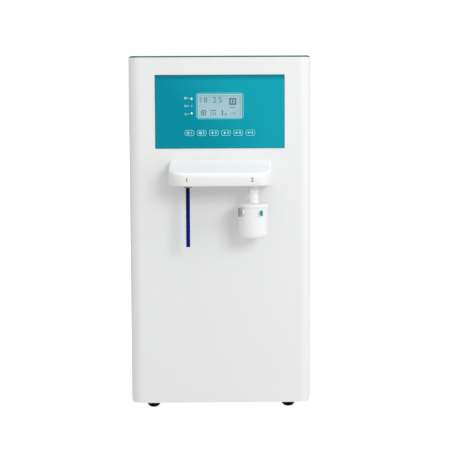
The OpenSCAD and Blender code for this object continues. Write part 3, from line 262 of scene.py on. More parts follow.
def printed_film(looks):
    """The keypad film: reverse-printed blue-green, lighter to the right, a dark top band, and painted shade
    along its rim where it sits in its recess.
    """
    finish = Finish("teal_film")
    x, _, z = finish.axes()
    across = x.between(FILM_LO.x, FILM_HI.x)
    up = z.between(FILM_LO.z, FILM_HI.z)
    # The film's colour runs lighter towards the right and a little towards the top.
    slant = (across + 0.45 * (up - 0.5)).between(0.22, 0.74)
    graded_colour = slant.blend(tuple(looks.film_deep), tuple(looks.film_light))
    edge = z.between(FILM_HI.z - 8.5 * MM, FILM_HI.z - 3.5 * MM)
    banded = (0.55 * edge).blend(graded_colour, tuple(looks.film_band))
    centre = (FILM_LO + FILM_HI) / 2
    half = (FILM_HI - FILM_LO) / 2
    # Painted shade: a thin line all round the film's edge is darkened, standing in for the shade of the recess
    # it sits in.
    rim_from, rim_to = 0.75 * MM, 0.45 * MM
    rim_shade_x = abs(x - centre.x).between(half.x - rim_from, half.x - rim_to)
    rim_shade_z = abs(z - centre.z).between(half.z - rim_from, half.z - rim_to)
    tint = (0.7 * rim_shade_x.larger(rim_shade_z)).blend(banded, shade(looks.film_band, 0.8))
    grains = finish.noise(3200.0, 1.0)
    return finish.surface(tint, 0.36 + 0.06 * grains, Normal=finish.bump(grains, 0.01 * MM, 0.5),
                          Specular_IOR_Level=0.03)


def metal(name, colour, roughness, scale, grain=(1.0, 1.0, 1.0)):
    """Bare or plated metal; grain packs the brushing or the rolling along an axis."""
    finish = Finish(name)
    lines = finish.noise(scale, 3.0, grain)
    patch = finish.noise(60.0, 3.0)
    tint = patch.blend(shade(colour, 0.9), colour)
    return finish.surface(tint, roughness + 0.22 * (lines - 0.5) + 0.08 * patch,
                          Metallic=1.0, Normal=finish.bump(lines, 0.015 * MM, 0.5))


def soft_rubber(name, colour):
    """Matt black rubber with a little dust."""
    finish = Finish(name)
    grains = finish.noise(1500.0, 3.0)
    dust = finish.noise(30.0, 2.0).between(0.45, 0.8)
    tint = (0.3 * dust).blend(colour, shade(colour, 1.8))
    return finish.surface(tint, 0.72 + 0.14 * (grains - 0.5), Normal=finish.bump(grains, 0.04 * MM, 0.7),
                          Specular_IOR_Level=0.0)


def clear_plastic(name, colour, roughness, see_through, inner=0.0, glow=0.0):
    """Clear or milky plastic: see_through passes straight on, inner scatters inside; glow is painted light, an
    emission that makes the plastic shine of itself.
    """
    finish = Finish(name)
    flow = finish.noise(90.0, 2.0, (1.0, 1.0, 0.15))
    tint = flow.blend(shade(colour, 0.96), colour)
    # Emission_Strength=glow is painted light: the plastic shines of itself, not lit by any lamp.
    return finish.surface(tint, roughness + 0.06 * flow, Normal=finish.bump(flow, 0.05 * MM, 0.3),
                          Alpha=1.0 - see_through + 0.04 * (flow - 0.5), Subsurface_Weight=inner,
                          Subsurface_Radius=(0.003, 0.003, 0.003), Subsurface_Scale=1.0,
                          Specular_IOR_Level=0.4, Emission_Color=tint, Emission_Strength=glow)


def blue_tubing(colour):
    """Solid-coloured polyethylene tube, with painted shade that darkens it towards its top, where it goes up
    under the head.
    """
    finish = Finish("blue_tube")
    height = finish.axes()[2]
    streaks = finish.noise(260.0, 2.0, (1.0, 1.0, 0.04))
    # Painted shade: the tube's colour falls to a fifth of itself from low on the tube up to the collet, under
    # the head.
    painted_shade_rise = height.between(TUBE_LO.z + 0.3 * (TUBE_HI.z - TUBE_LO.z), COLLET_FOOT)
    tint = painted_shade_rise.blend(streaks.blend(shade(colour, 0.85), colour), shade(colour, 0.18))
    return finish.surface(tint, 0.24 + 0.06 * streaks, Normal=finish.bump(streaks, 0.03 * MM, 0.3),
                          Specular_IOR_Level=0.06)


def display_face(looks):
    """The lit display: a pale blue-grey backlight behind fine square dots."""
    finish = Finish("display_glass")
    x, _, z = finish.axes()
    pitch = 0.5 * MM
    gap_x = abs((x / pitch).fraction() - 0.5).between(0.38, 0.5)
    gap_z = abs((z / pitch).fraction() - 0.5).between(0.38, 0.5)
    gaps = gap_x.larger(gap_z)
    glow = z.between(GLASS_LO.z, GLASS_HI.z)
    back = glow.blend(tuple(looks.display_low), tuple(looks.display_high))
    tint = (0.16 * gaps).blend(back, shade(tuple(looks.display_high), 0.7))
    return finish.surface(tint, 0.34, Emission_Color=tint, Emission_Strength=0.12, Coat_Weight=0.3,
                          Coat_Roughness=0.12)


def lamp_lens():
    """Three clear lenses: the top one lit pink-white, the middle one off, the lowest dim green."""
    finish = Finish("lamp_lens")
    low, off, lit = (0.6, 0.8, 0.72), (0.12, 0.36, 0.4), (1.0, 0.55, 0.62)
    height = finish.axes()[2].between(LAMPS_LO.z, LAMPS_HI.z)
    shine = finish.ramp(height, (0.0, low), (0.3, low), (0.34, off), (0.66, off), (0.7, lit), (1.0, lit))
    heart = finish.noise(700.0, 1.0)
    return finish.surface(shine, 0.16 + 0.08 * heart, Emission_Color=shine, Emission_Strength=0.55,
                          Normal=finish.bump(heart, 0.03 * MM, 0.4), Coat_Weight=0.6)


def laminate():
    """Green circuit board: woven glass under the mask, with brighter copper runs."""
    finish = Finish("circuit_board")
    grid = {"Vector": finish.place, "Scale": 90.0, "Mortar Size": 0.02, "Mortar Smooth": 0.3,
            "Brick Width": 0.9, "Row Height": 0.28}
    runs = finish.node("ShaderNodeTexBrick", {"offset": 0.5}, grid, 1)
    weave = finish.noise(1200.0, 1.0)
    tint = (0.6 * runs).blend((0.006, 0.075, 0.03), (0.03, 0.2, 0.07))
    return finish.surface(tint, 0.3 + 0.15 * weave, Normal=finish.bump(runs, 0.04 * MM, 0.6), Coat_Weight=0.3)


def pleats():
    """Pleated filter membrane: matt white with a fibrous surface."""
    finish = Finish("membrane")
    fibres = finish.noise(900.0, 4.0, (1.0, 1.0, 0.3))
    tint = fibres.blend((0.72, 0.72, 0.7), (0.86, 0.86, 0.84))
    return finish.surface(tint, 0.85 + 0.1 * (fibres - 0.5), Normal=finish.bump(fibres, 0.1 * MM, 0.7),
                          Sheen_Weight=0.1)


def floor_paper(glow):
    """The studio's seamless white paper."""
    finish = Finish("studio_paper")
    tooth = finish.noise(500.0, 2.0)
    tint = tooth.blend((0.93, 0.93, 0.93), (0.95, 0.95, 0.95))
    return finish.surface(tint, 0.9 + 0.05 * tooth, Specular_IOR_Level=0.1,
                          Emission_Color=(1.0, 1.0, 1.0), Emission_Strength=glow)


def ink(name, colour):
    """Screen-printed ink, slightly uneven."""
    finish = Finish(name)
    tooth = finish.noise(2200.0, 2.0)
    tint = tooth.blend(shade(colour, 0.93), colour)
    return finish.surface(tint, 0.5 + 0.1 * tooth, Normal=finish.bump(tooth, 0.006 * MM, 0.4))


# ------------------------------------------------------------------ modelling helpers

def link(item):
    """Puts an object in the scene."""
    bpy.context.scene.collection.objects.link(item)


def keep(mesh, name, material, body=None):
    """Makes the finished mesh an object; with a body it is a piece that rides on it."""
    data = bpy.data.meshes.new(name)
    mesh.normal_update()
    mesh.to_mesh(data)
    mesh.free()
    piece = bpy.data.objects.new(name, data)
    link(piece)
    data.materials.append(FINISHES[material])
    if body:
        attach(piece, body)
    return piece


def add(mesh, other):
    """Adds a copy of another bmesh to this one and frees it."""
    data = bpy.data.meshes.new("part")
    other.to_mesh(data)
    other.free()
    mesh.from_mesh(data)
    bpy.data.meshes.remove(data)


def rounded(width, height, radius):
    """A flat rounded rectangle about its middle."""
    mesh = bmesh.new()
    bmesh.ops.create_grid(mesh, x_segments=1, y_segments=1, size=0.5)
    bmesh.ops.scale(mesh, vec=(width, height, 1.0), verts=mesh.verts)
    if radius:
        bmesh.ops.bevel(mesh, geom=list(mesh.verts), offset=radius, segments=6, profile=0.5,
                        affect="VERTICES", material=-1)
    return mesh


def plate(width, height, radius, depth):
    """A rounded plate drawn in x, y about its middle, its front at z = 0 and depth thick behind."""
    mesh = rounded(width, height, radius)
    thicken(mesh, depth)
    return mesh


def thicken(mesh, depth):
    """Pushes a flat drawing back by depth and closes it."""
    grown = bmesh.ops.extrude_face_region(mesh, geom=list(mesh.faces), use_keep_orig=True)
    back = [item for item in grown["geom"] if isinstance(item, bmesh.types.BMVert)]
    bmesh.ops.translate(mesh, vec=(0.0, 0.0, -depth), verts=back)
    bmesh.ops.recalc_face_normals(mesh, faces=mesh.faces)


def ring(width, height, radius, line, depth):
    """A rounded frame of one line's width."""
    mesh = rounded(width, height, radius)
    bmesh.ops.inset_region(mesh, faces=list(mesh.faces), thickness=line, depth=0.0, use_even_offset=True,
                           use_boundary=True)
    middle = max(mesh.faces, key=lambda face: face.calc_area())
    bmesh.ops.delete(mesh, geom=[middle], context="FACES")
    thicken(mesh, depth)
    return mesh


def face_up(mesh):
    """Turns a flat drawing's faces to +Z."""
    if mesh.faces[:][0].normal.z < 0:
        bmesh.ops.reverse_faces(mesh, faces=mesh.faces)


def arrow(width, height, depth):
    """A triangle that points up."""
    mesh = bmesh.new()
    bmesh.ops.create_circle(mesh, cap_ends=True, segments=3, radius=1.0)
    low = min(vert.co.y for vert in mesh.verts)
    tall = max(vert.co.y for vert in mesh.verts) - low
    wide = 2 * max(vert.co.x for vert in mesh.verts)
    bmesh.ops.translate(mesh, vec=(0.0, -low - tall / 2, 0.0), verts=mesh.verts)
    bmesh.ops.scale(mesh, vec=(width / wide, height / tall, 1.0), verts=mesh.verts)
    face_up(mesh)
    thicken(mesh, depth)
    return mesh


def arc(radius, line, start, sweep, depth):
    """Part of a flat ring, from start over sweep degrees, counter-clockwise from +X."""
    mesh = bmesh.new()
    ends = [mesh.verts.new((radius + side * line / 2, 0.0, 0.0)) for side in (-1, 1)]
    edge = mesh.edges.new(ends)
    turned(mesh, start)
    bmesh.ops.spin(mesh, geom=ends + [edge], cent=(0, 0, 0), axis=(0, 0, 1), angle=math.radians(sweep),
                   steps=int(sweep / 15))
    bmesh.ops.recalc_face_normals(mesh, faces=mesh.faces)
    face_up(mesh)
    thicken(mesh, depth)
    return mesh


def stand(mesh, x, y, z):
    """Turns a flat drawing to face the front and sets it at a place."""
    mesh.transform(Matrix.Translation((x, y, z)) @ TO_FRONT)
    return mesh


def lay_behind(mesh, x, z, node, proud):
    """Turns a flat drawing to face the rear and lays it on the surface of a part."""
    mesh.transform(Matrix.Translation((x, 0.0, z)) @ TO_REAR)
    data = NODES[node].data
    places = [vert.co for vert in data.vertices]
    surface = BVHTree.FromPolygons(places, [face.vertices for face in data.polygons])
    inward = Vector((0.0, -1.0, 0.0))
    for vert in mesh.verts:
        hit = surface.ray_cast(Vector((vert.co.x, 1.0, vert.co.z)), inward)[0]
        vert.co.y += hit.y + proud
    return mesh


def turned(mesh, degrees):
    """Turns a flat drawing counter-clockwise about its middle."""
    turn = Matrix.Rotation(math.radians(degrees), 3, "Z")
    bmesh.ops.rotate(mesh, cent=(0, 0, 0), matrix=turn, verts=mesh.verts)
    return mesh


def shift(mesh, x, y):
    """Moves a flat drawing."""
    bmesh.ops.translate(mesh, vec=(x, y, 0.0), verts=mesh.verts)
    return mesh


def words(text, height, depth, thin=0.0):
    """Plain figures about their middle; thin pares their strokes, and below 0 it thickens them."""
    curve = bpy.data.curves.new("figures", "FONT")
    curve.body = text
    curve.align_x = "CENTER"
    curve.align_y = "CENTER"
    curve.size = height / 0.72
    curve.offset = -thin
    curve.resolution_u = 3
    holder = bpy.data.objects.new("figures", curve)
    data = bpy.data.meshes.new_from_object(holder)
    bpy.data.objects.remove(holder)
    bpy.data.curves.remove(curve)
    mesh = bmesh.new()
    mesh.from_mesh(data)
    bpy.data.meshes.remove(data)
    bmesh.ops.remove_doubles(mesh, verts=mesh.verts, dist=1e-6)
    thicken(mesh, depth)
    return mesh


def smooth(mesh):
    """Shades every face smoothly."""
    for face in mesh.faces:
        face.smooth = True


def together(*meshes):
    """Joins drawings into the first of them."""
    first = meshes[0]
    for other in meshes[1:]:
        add(first, other)
    return first


# ------------------------------------------------------------------ what a user may change

def colour_setting(name, description, default):
    return FloatVectorProperty(name=name, description=description, subtype="COLOR", size=3, min=0.0,
                               max=1.0, default=default)


def length_setting(name, description, default):
    return FloatProperty(name=name, description=description, default=default, min=0.0,
                         subtype="DISTANCE", unit="LENGTH")


def power_setting(name, description, default):
    return FloatProperty(name=name, description=description, default=default, min=0.0, unit="POWER")


class PurifierLooks(bpy.types.PropertyGroup):
    """Colours of the finishes"""
    cabinet: colour_setting("Cabinet", "Moulded and painted white parts of the cabinet", (0.80, 0.805, 0.805))
    head: colour_setting("Dispensing head", "Moulded white dispensing head", (0.82, 0.82, 0.82))
    lid: colour_setting("Lid", "Painted top cover", (0.006, 0.14, 0.12))
    film_deep: colour_setting("Film, deep", "Keypad film at its left", (0.002, 0.25, 0.33))
    film_light: colour_setting("Film, light", "Keypad film at its right", (0.006, 0.335, 0.42))
    # film_band also colours the painted shade along the film's rim.
    film_band: colour_setting("Film, band", "Darker band along the film's top and rim", (0.003, 0.12, 0.165))
    film_line: colour_setting("Film, outlines", "Thin outlines of the keys", (0.2, 0.78, 0.84))
    display_line: colour_setting("Display outline", "Thin outline round the display", (0.22, 0.68, 0.72))
    display_edge: colour_setting("Display edge", "Pale edge of the display's window", (0.55, 0.85, 0.9))
    legend: colour_setting("Legends", "Pale legends printed on the film", (0.6, 0.96, 1.0))
    display_high: colour_setting("Display, top", "Backlight at the top of the display", (0.28, 0.46, 0.52))
    display_low: colour_setting("Display, bottom", "Backlight at the bottom of the display", (0.31, 0.49, 0.54))
    figures: colour_setting("Display figures", "Dark figures on the display", (0.07, 0.15, 0.21))
    numbers: colour_setting("Outlet numbers", "Grey numbers on the head", (0.07, 0.07, 0.07))
    tube: colour_setting("Outlet tube", "Blue tube under the head", (0.001, 0.009, 0.19))
    capsule: colour_setting("Filter capsule", "Milky plastic of the filter capsule", (0.88, 0.88, 0.885))


class PurifierSizes(bpy.types.PropertyGroup):
    """Sizes of the prints and of the tube's wall"""
    ink: length_setting("Ink", "How far a print stands proud", 0.03 * MM)
    ink_depth: length_setting("Ink depth", "How thick a print is", 0.08 * MM)
    key_ring: length_setting("Key outline", "Width of the line round a key", 0.8 * MM)
    frame_width: length_setting("Display outline, width", "Width round the display", 75.0 * MM)
    frame_height: length_setting("Display outline, height", "Height round the display", 41.2 * MM)
    frame_line: length_setting("Display outline, line", "Thickness of the line", 0.75 * MM)
    number_height: length_setting("Outlet numbers", "Height of the numbers on the head", 6.6 * MM)
    tube_wall: length_setting("Tube wall", "Wall of the outlet tube", 1.0 * MM)


class PurifierStudio(bpy.types.PropertyGroup):
    """Powers of the lights"""
    fill: FloatProperty(name="Fill", description="Even light from all round", default=0.72, min=0.0)
    key: power_setting("Key", "Soft light from the right front", 14.0)
    top: power_setting("Top", "Soft light from above", 10.4)
    side: power_setting("Side", "Soft light on the right edge", 5.2)
    back: power_setting("Back", "Soft light from behind", 6.0)
    floor_glow: FloatProperty(name="Floor glow", description="Light of the white floor itself",
                              default=0.75, min=0.0)


SETTINGS = {"purifier_looks": PurifierLooks, "purifier_sizes": PurifierSizes,
            "purifier_studio": PurifierStudio}


# ------------------------------------------------------------------ the finishes of every part

def make_finishes():
    """Makes every material of the object and of the stage."""
    looks = bpy.context.scene.purifier_looks
    white = tuple(looks.cabinet)
    moulded("white_plastic", white)
    moulded("head_plastic", tuple(looks.head), 0.34)
    powder_coat("white_paint", white)
    powder_coat("teal_paint", tuple(looks.lid), 0.42, 0.15)
    printed_film(looks)
    metal("zinc_steel", (0.62, 0.63, 0.64), 0.36, 160.0, (1.0, 6.0, 1.0))
    metal("screw_steel", (0.66, 0.66, 0.66), 0.26, 900.0)
    metal("aluminium_case", (0.74, 0.75, 0.76), 0.4, 120.0, (8.0, 1.0, 1.0))
    soft_rubber("black_rubber", (0.004, 0.004, 0.004))
    moulded("dark_plastic", (0.018, 0.018, 0.02), 0.42)
    moulded("grey_plastic", (0.3, 0.31, 0.32), 0.42)
    moulded("teal_plastic", (0.006, 0.27, 0.33), 0.36)
    moulded("vent_plastic", (0.3, 0.3, 0.3), 0.4)
    moulded("fitting_white", (0.78, 0.78, 0.77), 0.34)
    # The capsule's glow is painted light that lifts its shaded side, though the capsule is no lamp.
    clear_plastic("capsule_plastic", tuple(looks.capsule), 0.3, 0.06, inner=0.1, glow=0.03)
    moulded("cartridge_white", (0.8, 0.81, 0.82), 0.32)
    clear_plastic("cartridge_clear", (0.7, 0.78, 0.84), 0.22, 0.45)
    pleats()
    display_face(looks)
    lamp_lens()
    laminate()
    powder_coat("motor_black", (0.02, 0.02, 0.022), 0.48)
    blue_tubing(tuple(looks.tube))
    clear_plastic("white_tube", (0.78, 0.8, 0.82), 0.35, 0.2)
    ink("key_outline", tuple(looks.film_line))
    ink("display_outline", tuple(looks.display_line))
    ink("display_edge", tuple(looks.display_edge))
    ink("white_legend", tuple(looks.legend))
    ink("display_figure", tuple(looks.figures))
    ink("grey_number", tuple(looks.numbers))
    ink("rocker_sign", (0.75, 0.75, 0.75))
    floor_paper(bpy.context.scene.purifier_studio.floor_glow)


def carry_over_parts():
    """Gives every part of the frame the finish of its slot."""
    for part in frame["record"]["subparts"]:
        node = NODES[part["node"]]
        finish = FINISHES[OWN_FINISH.get(part["node"], part["material_slot"])]
        if not node.data.materials:
            node.data.materials.append(finish)
        for entry in node.material_slots:
            entry.material = finish


# ------------------------------------------------------------------ pieces of the front

def make_display_frame():
    """The outline round the display and the pale edge of its window."""
    sizes = bpy.context.scene.purifier_sizes
    middle = (GLASS_LO + GLASS_HI) / 2
    front = FILM_LO.y - sizes.ink
    round_window = 1.9 * MM
    outline = ring(sizes.frame_width, sizes.frame_height, FRAME_CORNER, sizes.frame_line, sizes.ink_depth)
    edge = ring(WINDOW.x + round_window, WINDOW.y + round_window, 1.2 * MM, 0.9 * MM, sizes.ink_depth)
    keep(stand(outline, middle.x, front, middle.z), "display_outline", "display_outline", ROOT)
    keep(stand(edge, middle.x, front, middle.z), "display_edge", "display_edge", ROOT)


def make_display_figures():
    """What the lit display shows: two plain readings, a status square, three small signs and bars."""
    middle = (GLASS_LO + GLASS_HI) / 2
    depth = 0.06 * MM
    wide, tall = WINDOW.x, WINDOW.y
    parts = []
    for digit, place in zip("1825", (-0.44, -0.33, -0.12, 0.01)):
        parts.append(shift(words(digit, 9.4 * MM, depth, 0.12 * MM), place * wide, 0.26 * tall))
    square = together(ring(11.0 * MM, 10.6 * MM, 0.0, 2.2 * MM, depth), plate(2.4 * MM, 5.0 * MM, 0.0, depth))
    parts.append(shift(square, 0.3 * wide, 0.2 * tall))
    parts.append(shift(plate(8.0 * MM, 0.9 * MM, 0.0, depth), 0.3 * wide, -0.07 * tall))
    for count, place in enumerate((-0.38, -0.155, 0.07)):
        parts.append(shift(sign(count, 8.6 * MM, depth), place * wide, -0.3 * tall))
    for count in range(4):
        bar = plate(0.9 * MM, (1.4 + 0.9 * count) * MM, 0.0, depth)
        parts.append(shift(bar, (0.24 + 0.04 * count) * wide, -0.36 * tall + 0.45 * count * MM))
    drawing = stand(together(*parts), middle.x, GLASS_LO.y - 0.03 * MM, middle.z)
    keep(drawing, "display_figures", "display_figure", ROOT)


def sign(kind, size, depth):
    """One of three small signs: a ring with a dot, a comb and a bar with a dot."""
    if kind == 0:
        rim = ring(size, size, size * 0.4, size * 0.17, depth)
        return together(rim, plate(size * 0.34, size * 0.34, size * 0.1, depth))
    if kind == 1:
        bar = shift(plate(size * 1.1, size * 0.15, 0.0, depth), 0.0, size * 0.38)
        for step in (-1, 0, 1):
            add(bar, shift(plate(size * 0.13, size * 0.5, 0.0, depth), size * 0.4 * step, -size * 0.2))
        return bar
    dot = shift(plate(size * 0.3, size * 0.3, size * 0.1, depth), size * 0.5, -size * 0.3)
    return together(shift(plate(size * 0.2, size, 0.0, depth), -size * 0.1, 0.0), dot)


def make_lamp_marks():
    """Small marks on the film beside the three lamps."""
    sizes = bpy.context.scene.purifier_sizes
    lamp = 3.0 * MM
    pitch = (LAMPS_HI.z - LAMPS_LO.z - lamp) / 2
    centre = (LAMPS_LO.z + LAMPS_HI.z) / 2
    marks = []
    for count, step in enumerate((1, 0, -1)):
        marks.append(shift(sign(count, 3.4 * MM, sizes.ink_depth), -8.6 * MM, step * pitch))
        marks.append(shift(plate(2.6 * MM, 0.7 * MM, 0.0, sizes.ink_depth), -4.2 * MM, step * pitch))
    drawing = stand(together(*marks), LAMPS_LO.x + 1.4 * MM, FILM_LO.y - sizes.ink, centre)
    keep(drawing, "lamp_marks", "white_legend", ROOT)


def legend(key, depth):
    """The plain sign of one key, about 4 mm across."""
    line = 0.8 * MM
    if key == "power_key":
        return together(arc(1.7 * MM, line, 120.0, 300.0, depth),
                        shift(plate(line, 2.0 * MM, 0.0, depth), 0.0, 1.2 * MM))
    if key == "menu_key":
        return together(*[shift(plate(4.2 * MM, line, 0.0, depth), 0.0, place * MM)
                          for place in (-1.5, 0.0, 1.5)])
    if key in ("down_key", "up_key"):
        mark = together(shift(arrow(3.8 * MM, 2.2 * MM, depth), 0.0, 0.9 * MM),
                        shift(plate(1.2 * MM, 2.2 * MM, 0.0, depth), 0.0, -1.0 * MM))
        return turned(mark, 180.0 if key == "down_key" else 0.0)
    head = turned(arrow(3.6 * MM, 2.2 * MM, depth), 90.0)
    mark = together(shift(head, -1.2 * MM, 0.0), shift(plate(2.6 * MM, line, 0.0, depth), 0.9 * MM, 0.0))
    if key == "enter_key":
        add(mark, shift(plate(line, 2.2 * MM, 0.0, depth), 2.0 * MM, 0.8 * MM))
    return mark


def make_key_prints():
    """An outline and a legend on each key, which go down with it."""
    sizes = bpy.context.scene.purifier_sizes
    for number, key in enumerate(KEYS, start=1):
        low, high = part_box(key)
        middle = (low + high) / 2
        front = low.y - sizes.ink
        outline = ring(KEY_PRINT.x, KEY_PRINT.y, KEY_PRINT_CORNER, sizes.key_ring, sizes.ink_depth)
        stand(outline, middle.x, front, middle.z)
        keep(outline, key + "_outline", "key_outline", key)
        figure = shift(words(str(number), 3.9 * MM, sizes.ink_depth, -0.12 * MM), KEY_NUMBER_X, 0.0)
        drawing = together(shift(legend(key, sizes.ink_depth), KEY_SIGN_X, 0.0), figure)
        stand(drawing, middle.x, front, middle.z)
        keep(drawing, key + "_legend", "white_legend", key)


def make_outlet_numbers():
    """The plain numbers of the two outlets on the head's front."""
    sizes = bpy.context.scene.purifier_sizes
    depth = 0.25 * MM
    numbers = together(*[shift(words(figure, sizes.number_height, depth, thin), x, 0.0)
                         for figure, x, thin in OUTLET_NUMBERS])
    stand(numbers, 0.0, HEAD_FRONT - 0.04 * MM, OUTLET_NUMBER_Z)
    for vert in numbers.verts:
        beyond = max(0.0, abs(vert.co.x) - HEAD_FLAT)
        vert.co.y += HEAD_CORNER - math.sqrt(HEAD_CORNER ** 2 - beyond ** 2)
    keep(numbers, "outlet_numbers", "grey_number", ROOT)


def make_rear_marks():
    """Plain numbers beside the rear connections, and the on and off signs of the mains rocker."""
    sizes = bpy.context.scene.purifier_sizes
    numbers = bmesh.new()
    for port, figure in REAR_NUMBERS.items():
        low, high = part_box(port)
        middle = (low + high) / 2
        add(numbers, lay_behind(words(figure, sizes.number_height, sizes.ink_depth),
                                middle.x + REAR_NUMBER_OUT, middle.z, "rear_panel", sizes.ink))
    keep(numbers, "rear_numbers", "grey_number", ROOT)
    low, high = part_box("rocker_switch")
    middle = (low + high) / 2
    on_sign = shift(plate(0.7 * MM, 2.8 * MM, 0.0, sizes.ink_depth), 0.0, 2.9 * MM)
    off_sign = shift(ring(2.8 * MM, 2.8 * MM, 1.35 * MM, 0.6 * MM, sizes.ink_depth), 0.0, -2.9 * MM)
    signs = lay_behind(together(on_sign, off_sign), middle.x, middle.z, "rocker_switch", sizes.ink)
    keep(signs, "rocker_signs", "rocker_sign", "rocker_switch")


def make_head_skin():
    """The head's shell with its corners and slopes shaded as the smooth moulding they are."""
    mesh = bmesh.new()
    mesh.from_mesh(NODES["head_shell"].data)
    bmesh.ops.remove_doubles(mesh, verts=mesh.verts, dist=0.01 * MM)
    smooth(mesh)
    for edge in mesh.edges:
        edge.smooth = len(edge.link_faces) == 2 and edge.calc_face_angle(0.0) < math.radians(32.0)
    skin = keep(mesh, "head_skin", "head_plastic", ROOT)
    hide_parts("head_shell")


# ------------------------------------------------------------------ outlets

def make_outlet_tube():
    """The blue polyethylene tube, open at its square-cut end."""
    sizes = bpy.context.scene.purifier_sizes
    centre = (TUBE_LO + TUBE_HI) / 2
    outer = (TUBE_HI.x - TUBE_LO.x) / 2
    mesh = bmesh.new()
    bmesh.ops.create_circle(mesh, segments=48, radius=outer)
    rim = list(mesh.edges)
    length = TUBE_HI.z - TUBE_LO.z
    step = length / TUBE_STEPS
    for _ in range(TUBE_STEPS):
        grown = bmesh.ops.extrude_edge_only(mesh, edges=rim)["geom"]
        verts = [item for item in grown if isinstance(item, bmesh.types.BMVert)]
        bmesh.ops.translate(mesh, vec=(0, 0, step), verts=verts)
        rim = [item for item in grown if isinstance(item, bmesh.types.BMEdge)]
    bmesh.ops.recalc_face_normals(mesh, faces=mesh.faces)
    side = mesh.faces[:][0]
    if side.normal.dot(side.calc_center_median()) < 0:
        bmesh.ops.reverse_faces(mesh, faces=mesh.faces)
    bmesh.ops.solidify(mesh, geom=list(mesh.faces), thickness=sizes.tube_wall)
    bmesh.ops.translate(mesh, vec=(centre.x, centre.y, TUBE_LO.z), verts=mesh.verts)
    smooth(mesh)
    tube = keep(mesh, "outlet_tube", "blue_tube", ROOT)
    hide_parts("ro_outlet_tube")


# ------------------------------------------------------------------ studio

def make_camera():
    """The photograph's viewpoint: a long lens, just above the middle, looking slightly down."""
    yaw, pitch, roll = (math.radians(angle) for angle in (CAMERA_YAW, CAMERA_PITCH, CAMERA_ROLL))
    ahead = Vector((math.sin(yaw) * math.cos(pitch), math.cos(yaw) * math.cos(pitch), -math.sin(pitch)))
    right = ahead.cross(Vector((0.0, 0.0, 1.0))).normalized()
    above = right.cross(ahead)
    rolled_right = math.cos(roll) * right + math.sin(roll) * above
    rolled_above = rolled_right.cross(ahead)
    lens = bpy.data.cameras.new("studio_camera")
    lens.sensor_fit = "HORIZONTAL"
    lens.sensor_width = CAMERA_SENSOR
    lens.lens = CAMERA_LENS
    lens.clip_end = 2 * FLOOR_RADIUS
    camera = bpy.data.objects.new("studio_camera", lens)
    turn = Matrix((rolled_right, rolled_above, -ahead)).transposed().to_4x4()
    camera.matrix_world = Matrix.Translation(CAMERA_PLACE) @ turn
    link(camera)
    bpy.context.scene.camera = camera


def make_floor():
    """The white paper that the object stands on."""
    mesh = bmesh.new()
    bmesh.ops.create_circle(mesh, cap_ends=True, segments=96, radius=FLOOR_RADIUS)
    floor = keep(mesh, "floor", "studio_paper")
    floor.visible_diffuse = False
    floor.visible_glossy = False


def make_surroundings(fill):
    """Even white light from all round, which looks white to the camera."""
    world = bpy.data.worlds.new("studio")
    world.use_nodes = True
    tree = world.node_tree
    tree.nodes.clear()
    ray = tree.nodes.new("ShaderNodeLightPath")
    seen = tree.nodes.new("ShaderNodeMix")
    back = tree.nodes.new("ShaderNodeBackground")
    out = tree.nodes.new("ShaderNodeOutputWorld")
    seen.inputs[2].default_value = fill
    seen.inputs[3].default_value = BACKGROUND
    back.inputs["Color"].default_value = (1.0, 1.0, 1.0, 1.0)
    tree.links.new(ray.outputs["Is Camera Ray"], seen.inputs[0])
    tree.links.new(seen.outputs[0], back.inputs["Strength"])
    tree.links.new(back.outputs[0], out.inputs["Surface"])
    bpy.context.scene.world = world


def soft_light(name, place, size, power):
    """A rectangular lamp that points at the object."""
    lamp = bpy.data.lights.new(name, "AREA")
    lamp.shape = "RECTANGLE"
    lamp.size, lamp.size_y = size
    lamp.energy = power
    holder = bpy.data.objects.new(name, lamp)
    turn = (Vector(LIGHTS_AIM) - Vector(place)).to_track_quat("-Z", "Y").to_matrix().to_4x4()
    holder.matrix_world = Matrix.Translation(place) @ turn
    link(holder)


def make_lights():
    """The surroundings and the soft lights, shown without a film look."""
    studio = bpy.context.scene.purifier_studio
    make_surroundings(studio.fill)
    for name, place, size, power in LIGHTS:
        soft_light(name, place, size, getattr(studio, power))
    bpy.context.scene.view_settings.view_transform = "Standard"


# ------------------------------------------------------------------ operators and panel

class PURIFIER_OT_finishes(bpy.types.Operator):
    """Makes the finishes and gives each part its own"""
    bl_idname = "purifier.finishes"
    bl_label = "Finishes"

    def execute(self, context):
        make_finishes()
        carry_over_parts()
        return {"FINISHED"}


class PURIFIER_OT_studio(bpy.types.Operator):
    """Sets the camera, the lights and the white floor"""
    bl_idname = "purifier.studio"
    bl_label = "Studio"

    def execute(self, context):
        make_camera()
        make_floor()
        make_lights()
        return {"FINISHED"}


class PURIFIER_OT_tube(bpy.types.Operator):
    """Makes the blue outlet tube"""
    bl_idname = "purifier.outlet_tube"
    bl_label = "Outlet Tube"

    def execute(self, context):
        make_outlet_tube()
        return {"FINISHED"}


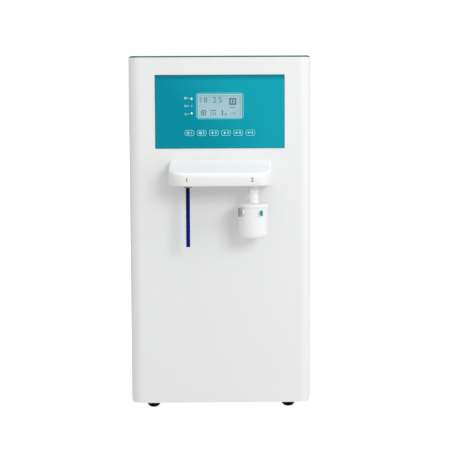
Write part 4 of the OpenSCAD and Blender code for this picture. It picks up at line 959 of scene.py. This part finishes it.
class PURIFIER_OT_display(bpy.types.Operator):
    """Prints the display's outline and sets what it shows"""
    bl_idname = "purifier.display"
    bl_label = "Display"

    def execute(self, context):
        make_display_frame()
        make_display_figures()
        make_lamp_marks()
        return {"FINISHED"}


class PURIFIER_OT_keys(bpy.types.Operator):
    """Prints an outline and a legend on each key"""
    bl_idname = "purifier.key_prints"
    bl_label = "Key Prints"

    def execute(self, context):
        make_key_prints()
        return {"FINISHED"}


class PURIFIER_OT_head(bpy.types.Operator):
    """Smooths the dispensing head and prints the outlet numbers on it"""
    bl_idname = "purifier.dispensing_head"
    bl_label = "Dispensing Head"

    def execute(self, context):
        make_head_skin()
        make_outlet_numbers()
        return {"FINISHED"}


class PURIFIER_OT_rear(bpy.types.Operator):
    """Prints the numbers of the rear connections and the signs of the mains rocker"""
    bl_idname = "purifier.rear_marks"
    bl_label = "Rear Marks"

    def execute(self, context):
        make_rear_marks()
        return {"FINISHED"}


OPERATORS = (PURIFIER_OT_finishes, PURIFIER_OT_studio, PURIFIER_OT_tube, PURIFIER_OT_display,
             PURIFIER_OT_keys, PURIFIER_OT_head, PURIFIER_OT_rear)


class PURIFIER_PT_panel(bpy.types.Panel):
    """The purifier's settings and pieces"""
    bl_idname = "PURIFIER_PT_panel"
    bl_label = "Water Purifier"
    bl_space_type = "VIEW_3D"
    bl_region_type = "UI"
    bl_category = "Purifier"

    def draw(self, context):
        for holder in SETTINGS:
            group = getattr(context.scene, holder)
            box = self.layout.box()
            for name in group.__annotations__:
                box.prop(group, name)
        for operator in OPERATORS:
            self.layout.operator(operator.bl_idname)


CLASSES = (*SETTINGS.values(), *OPERATORS, PURIFIER_PT_panel)


def register():
    for cls in CLASSES:
        bpy.utils.register_class(cls)
    for holder, group in SETTINGS.items():
        setattr(bpy.types.Scene, holder, PointerProperty(type=group))


def unregister():
    for holder in SETTINGS:
        delattr(bpy.types.Scene, holder)
    for cls in reversed(CLASSES):
        bpy.utils.unregister_class(cls)


def main():
    """Makes every piece in order."""
    register()
    for operator in OPERATORS:
        name = operator.bl_idname.split(".")[1]
        getattr(bpy.ops.purifier, name)()


if __name__ == "__main__":
    main()
